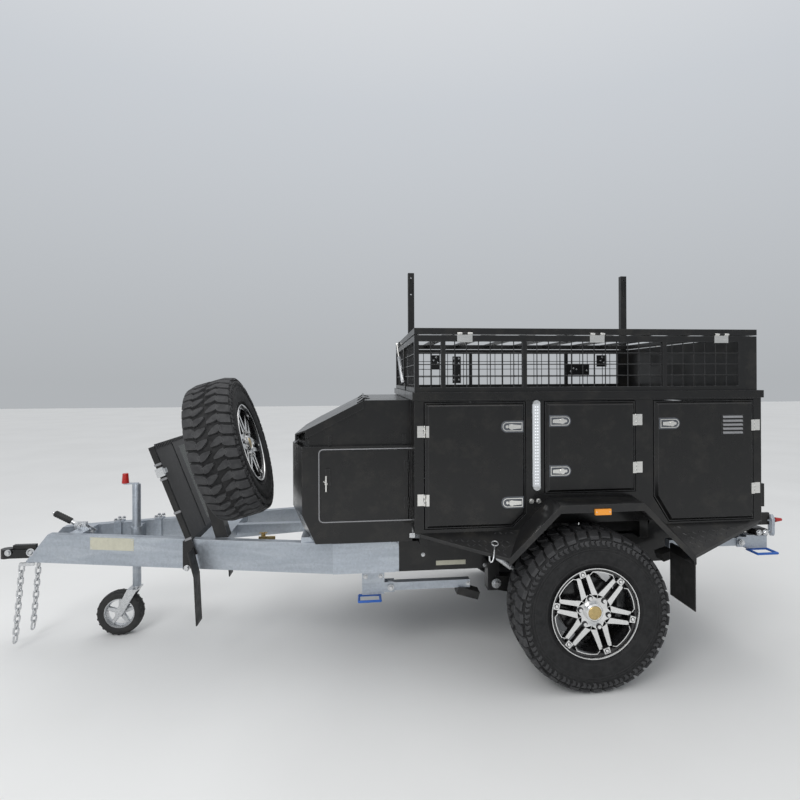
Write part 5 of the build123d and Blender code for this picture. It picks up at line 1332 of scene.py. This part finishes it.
shape = Shape()
shape.box(at(-1800, -330, 632), at(-1704, -322, 690), chamfer=0.001)
shape.rod(at(TAP_X, -330, 660), at(TAP_X, -262, 660), 0.011, 24, 0.001)
shape.rod(at(TAP_X, TAP_Y, 640), at(TAP_X, TAP_Y, 700), 0.013, 24, 0.002)
shape.rod(at(TAP_X, TAP_Y, 652), at(TAP_X - 44, TAP_Y, 640), 0.010, 20, 0.002)
shape.box(at(TAP_X - 24, TAP_Y - 6, 700), at(TAP_X + 24, TAP_Y + 6, 706), chamfer=0.002)
make("water_tap", shape, "trailer", "zinc", BRASS)


# Drilled plates on the far side of the basket: x and z from and to, then their bolts
PLATES = (
    ((-635, -567), (1690, 1803), ((-596, 1784), (-616, 1760), (-583, 1741))),
    ((-463, -395), (1578, 1793), [(x, z) for z in (1774, 1737, 1638, 1605) for x in (-451, -412)]),
    ((482, 678), (1641, 1729), ((519, 1669), (544, 1693), (570, 1685), (657, 1675))),
    ((743, 827), (1708, 1803), ((789, 1783), (775, 1757), (804, 1741))),
)
PLATES_Y = 700

shape = Shape()
for (x0, x1), (z0, z1), bolts in PLATES:
    shape.box(at(x0, PLATES_Y, z0), at(x1, PLATES_Y + 6, z1), chamfer=0.001)
    for x, z in bolts:
        shape.rod(at(x, PLATES_Y, z), at(x, PLATES_Y - 6, z), 0.0075, 16, 0.002, 1)
make("basket_plates", shape, "trailer", "black_steel", FRAME_COAT, ZINC)


# Floor, light and world
FLOOR_HALF = 30.0
# Colours of the light from all round: height of the direction, colour
SKY = ((0.0, (0.46, 0.48, 0.50)), (0.45, (0.62, 0.65, 0.69)), (1.0, (1.0, 1.0, 1.0)))
SKY_STRENGTH = 0.95
LOOK_AT = (0.2, 0, 0.7)


def make_floor():
    """A wide pale floor."""
    mesh = bpy.data.meshes.new("floor")
    ends = (-FLOOR_HALF, FLOOR_HALF)
    mesh.from_pydata([(x, y, 0) for x, y in four(ends, ends)], [], [(0, 1, 2, 3)])
    floor = bpy.data.objects.new("floor", mesh)
    bpy.context.scene.collection.objects.link(floor)
    paint = Paint("pale_floor", (0.80, 0.80, 0.79), 0.85)
    paint.color(paint.ramp(paint.noise(0.8, 4.0), (0.3, (0.78, 0.78, 0.77)), (0.7, (0.82, 0.82, 0.81))))
    mesh.materials.append(paint.material)


def make_world():
    """Soft light from all round, brighter from above."""
    world = bpy.data.worlds.new("studio")
    bpy.context.scene.world = world
    light = Nodes(world, "Background")
    place = light.node("ShaderNodeTexCoord").outputs["Generated"]
    height = light.node("ShaderNodeSeparateXYZ", None, place).outputs["Z"]
    light.fix(Color=light.ramp(height, *SKY), Strength=SKY_STRENGTH)


def area_light(name, place, size, power):
    """A square soft lamp that looks at the trailer's middle."""
    data = bpy.data.lights.new(name, "AREA")
    data.size = size
    data.energy = power
    lamp = bpy.data.objects.new(name, data)
    lamp.location = place
    lamp.rotation_euler = (Vector(LOOK_AT) - Vector(place)).to_track_quat("-Z", "Y").to_euler()
    bpy.context.scene.collection.objects.link(lamp)


make_floor()
make_world()
area_light("key", (-3.0, -6.0, 5.5), 3.5, 200)
area_light("top", (1.0, 1.0, 6.0), 4.0, 60)
bpy.context.scene.view_settings.view_transform = "Standard"
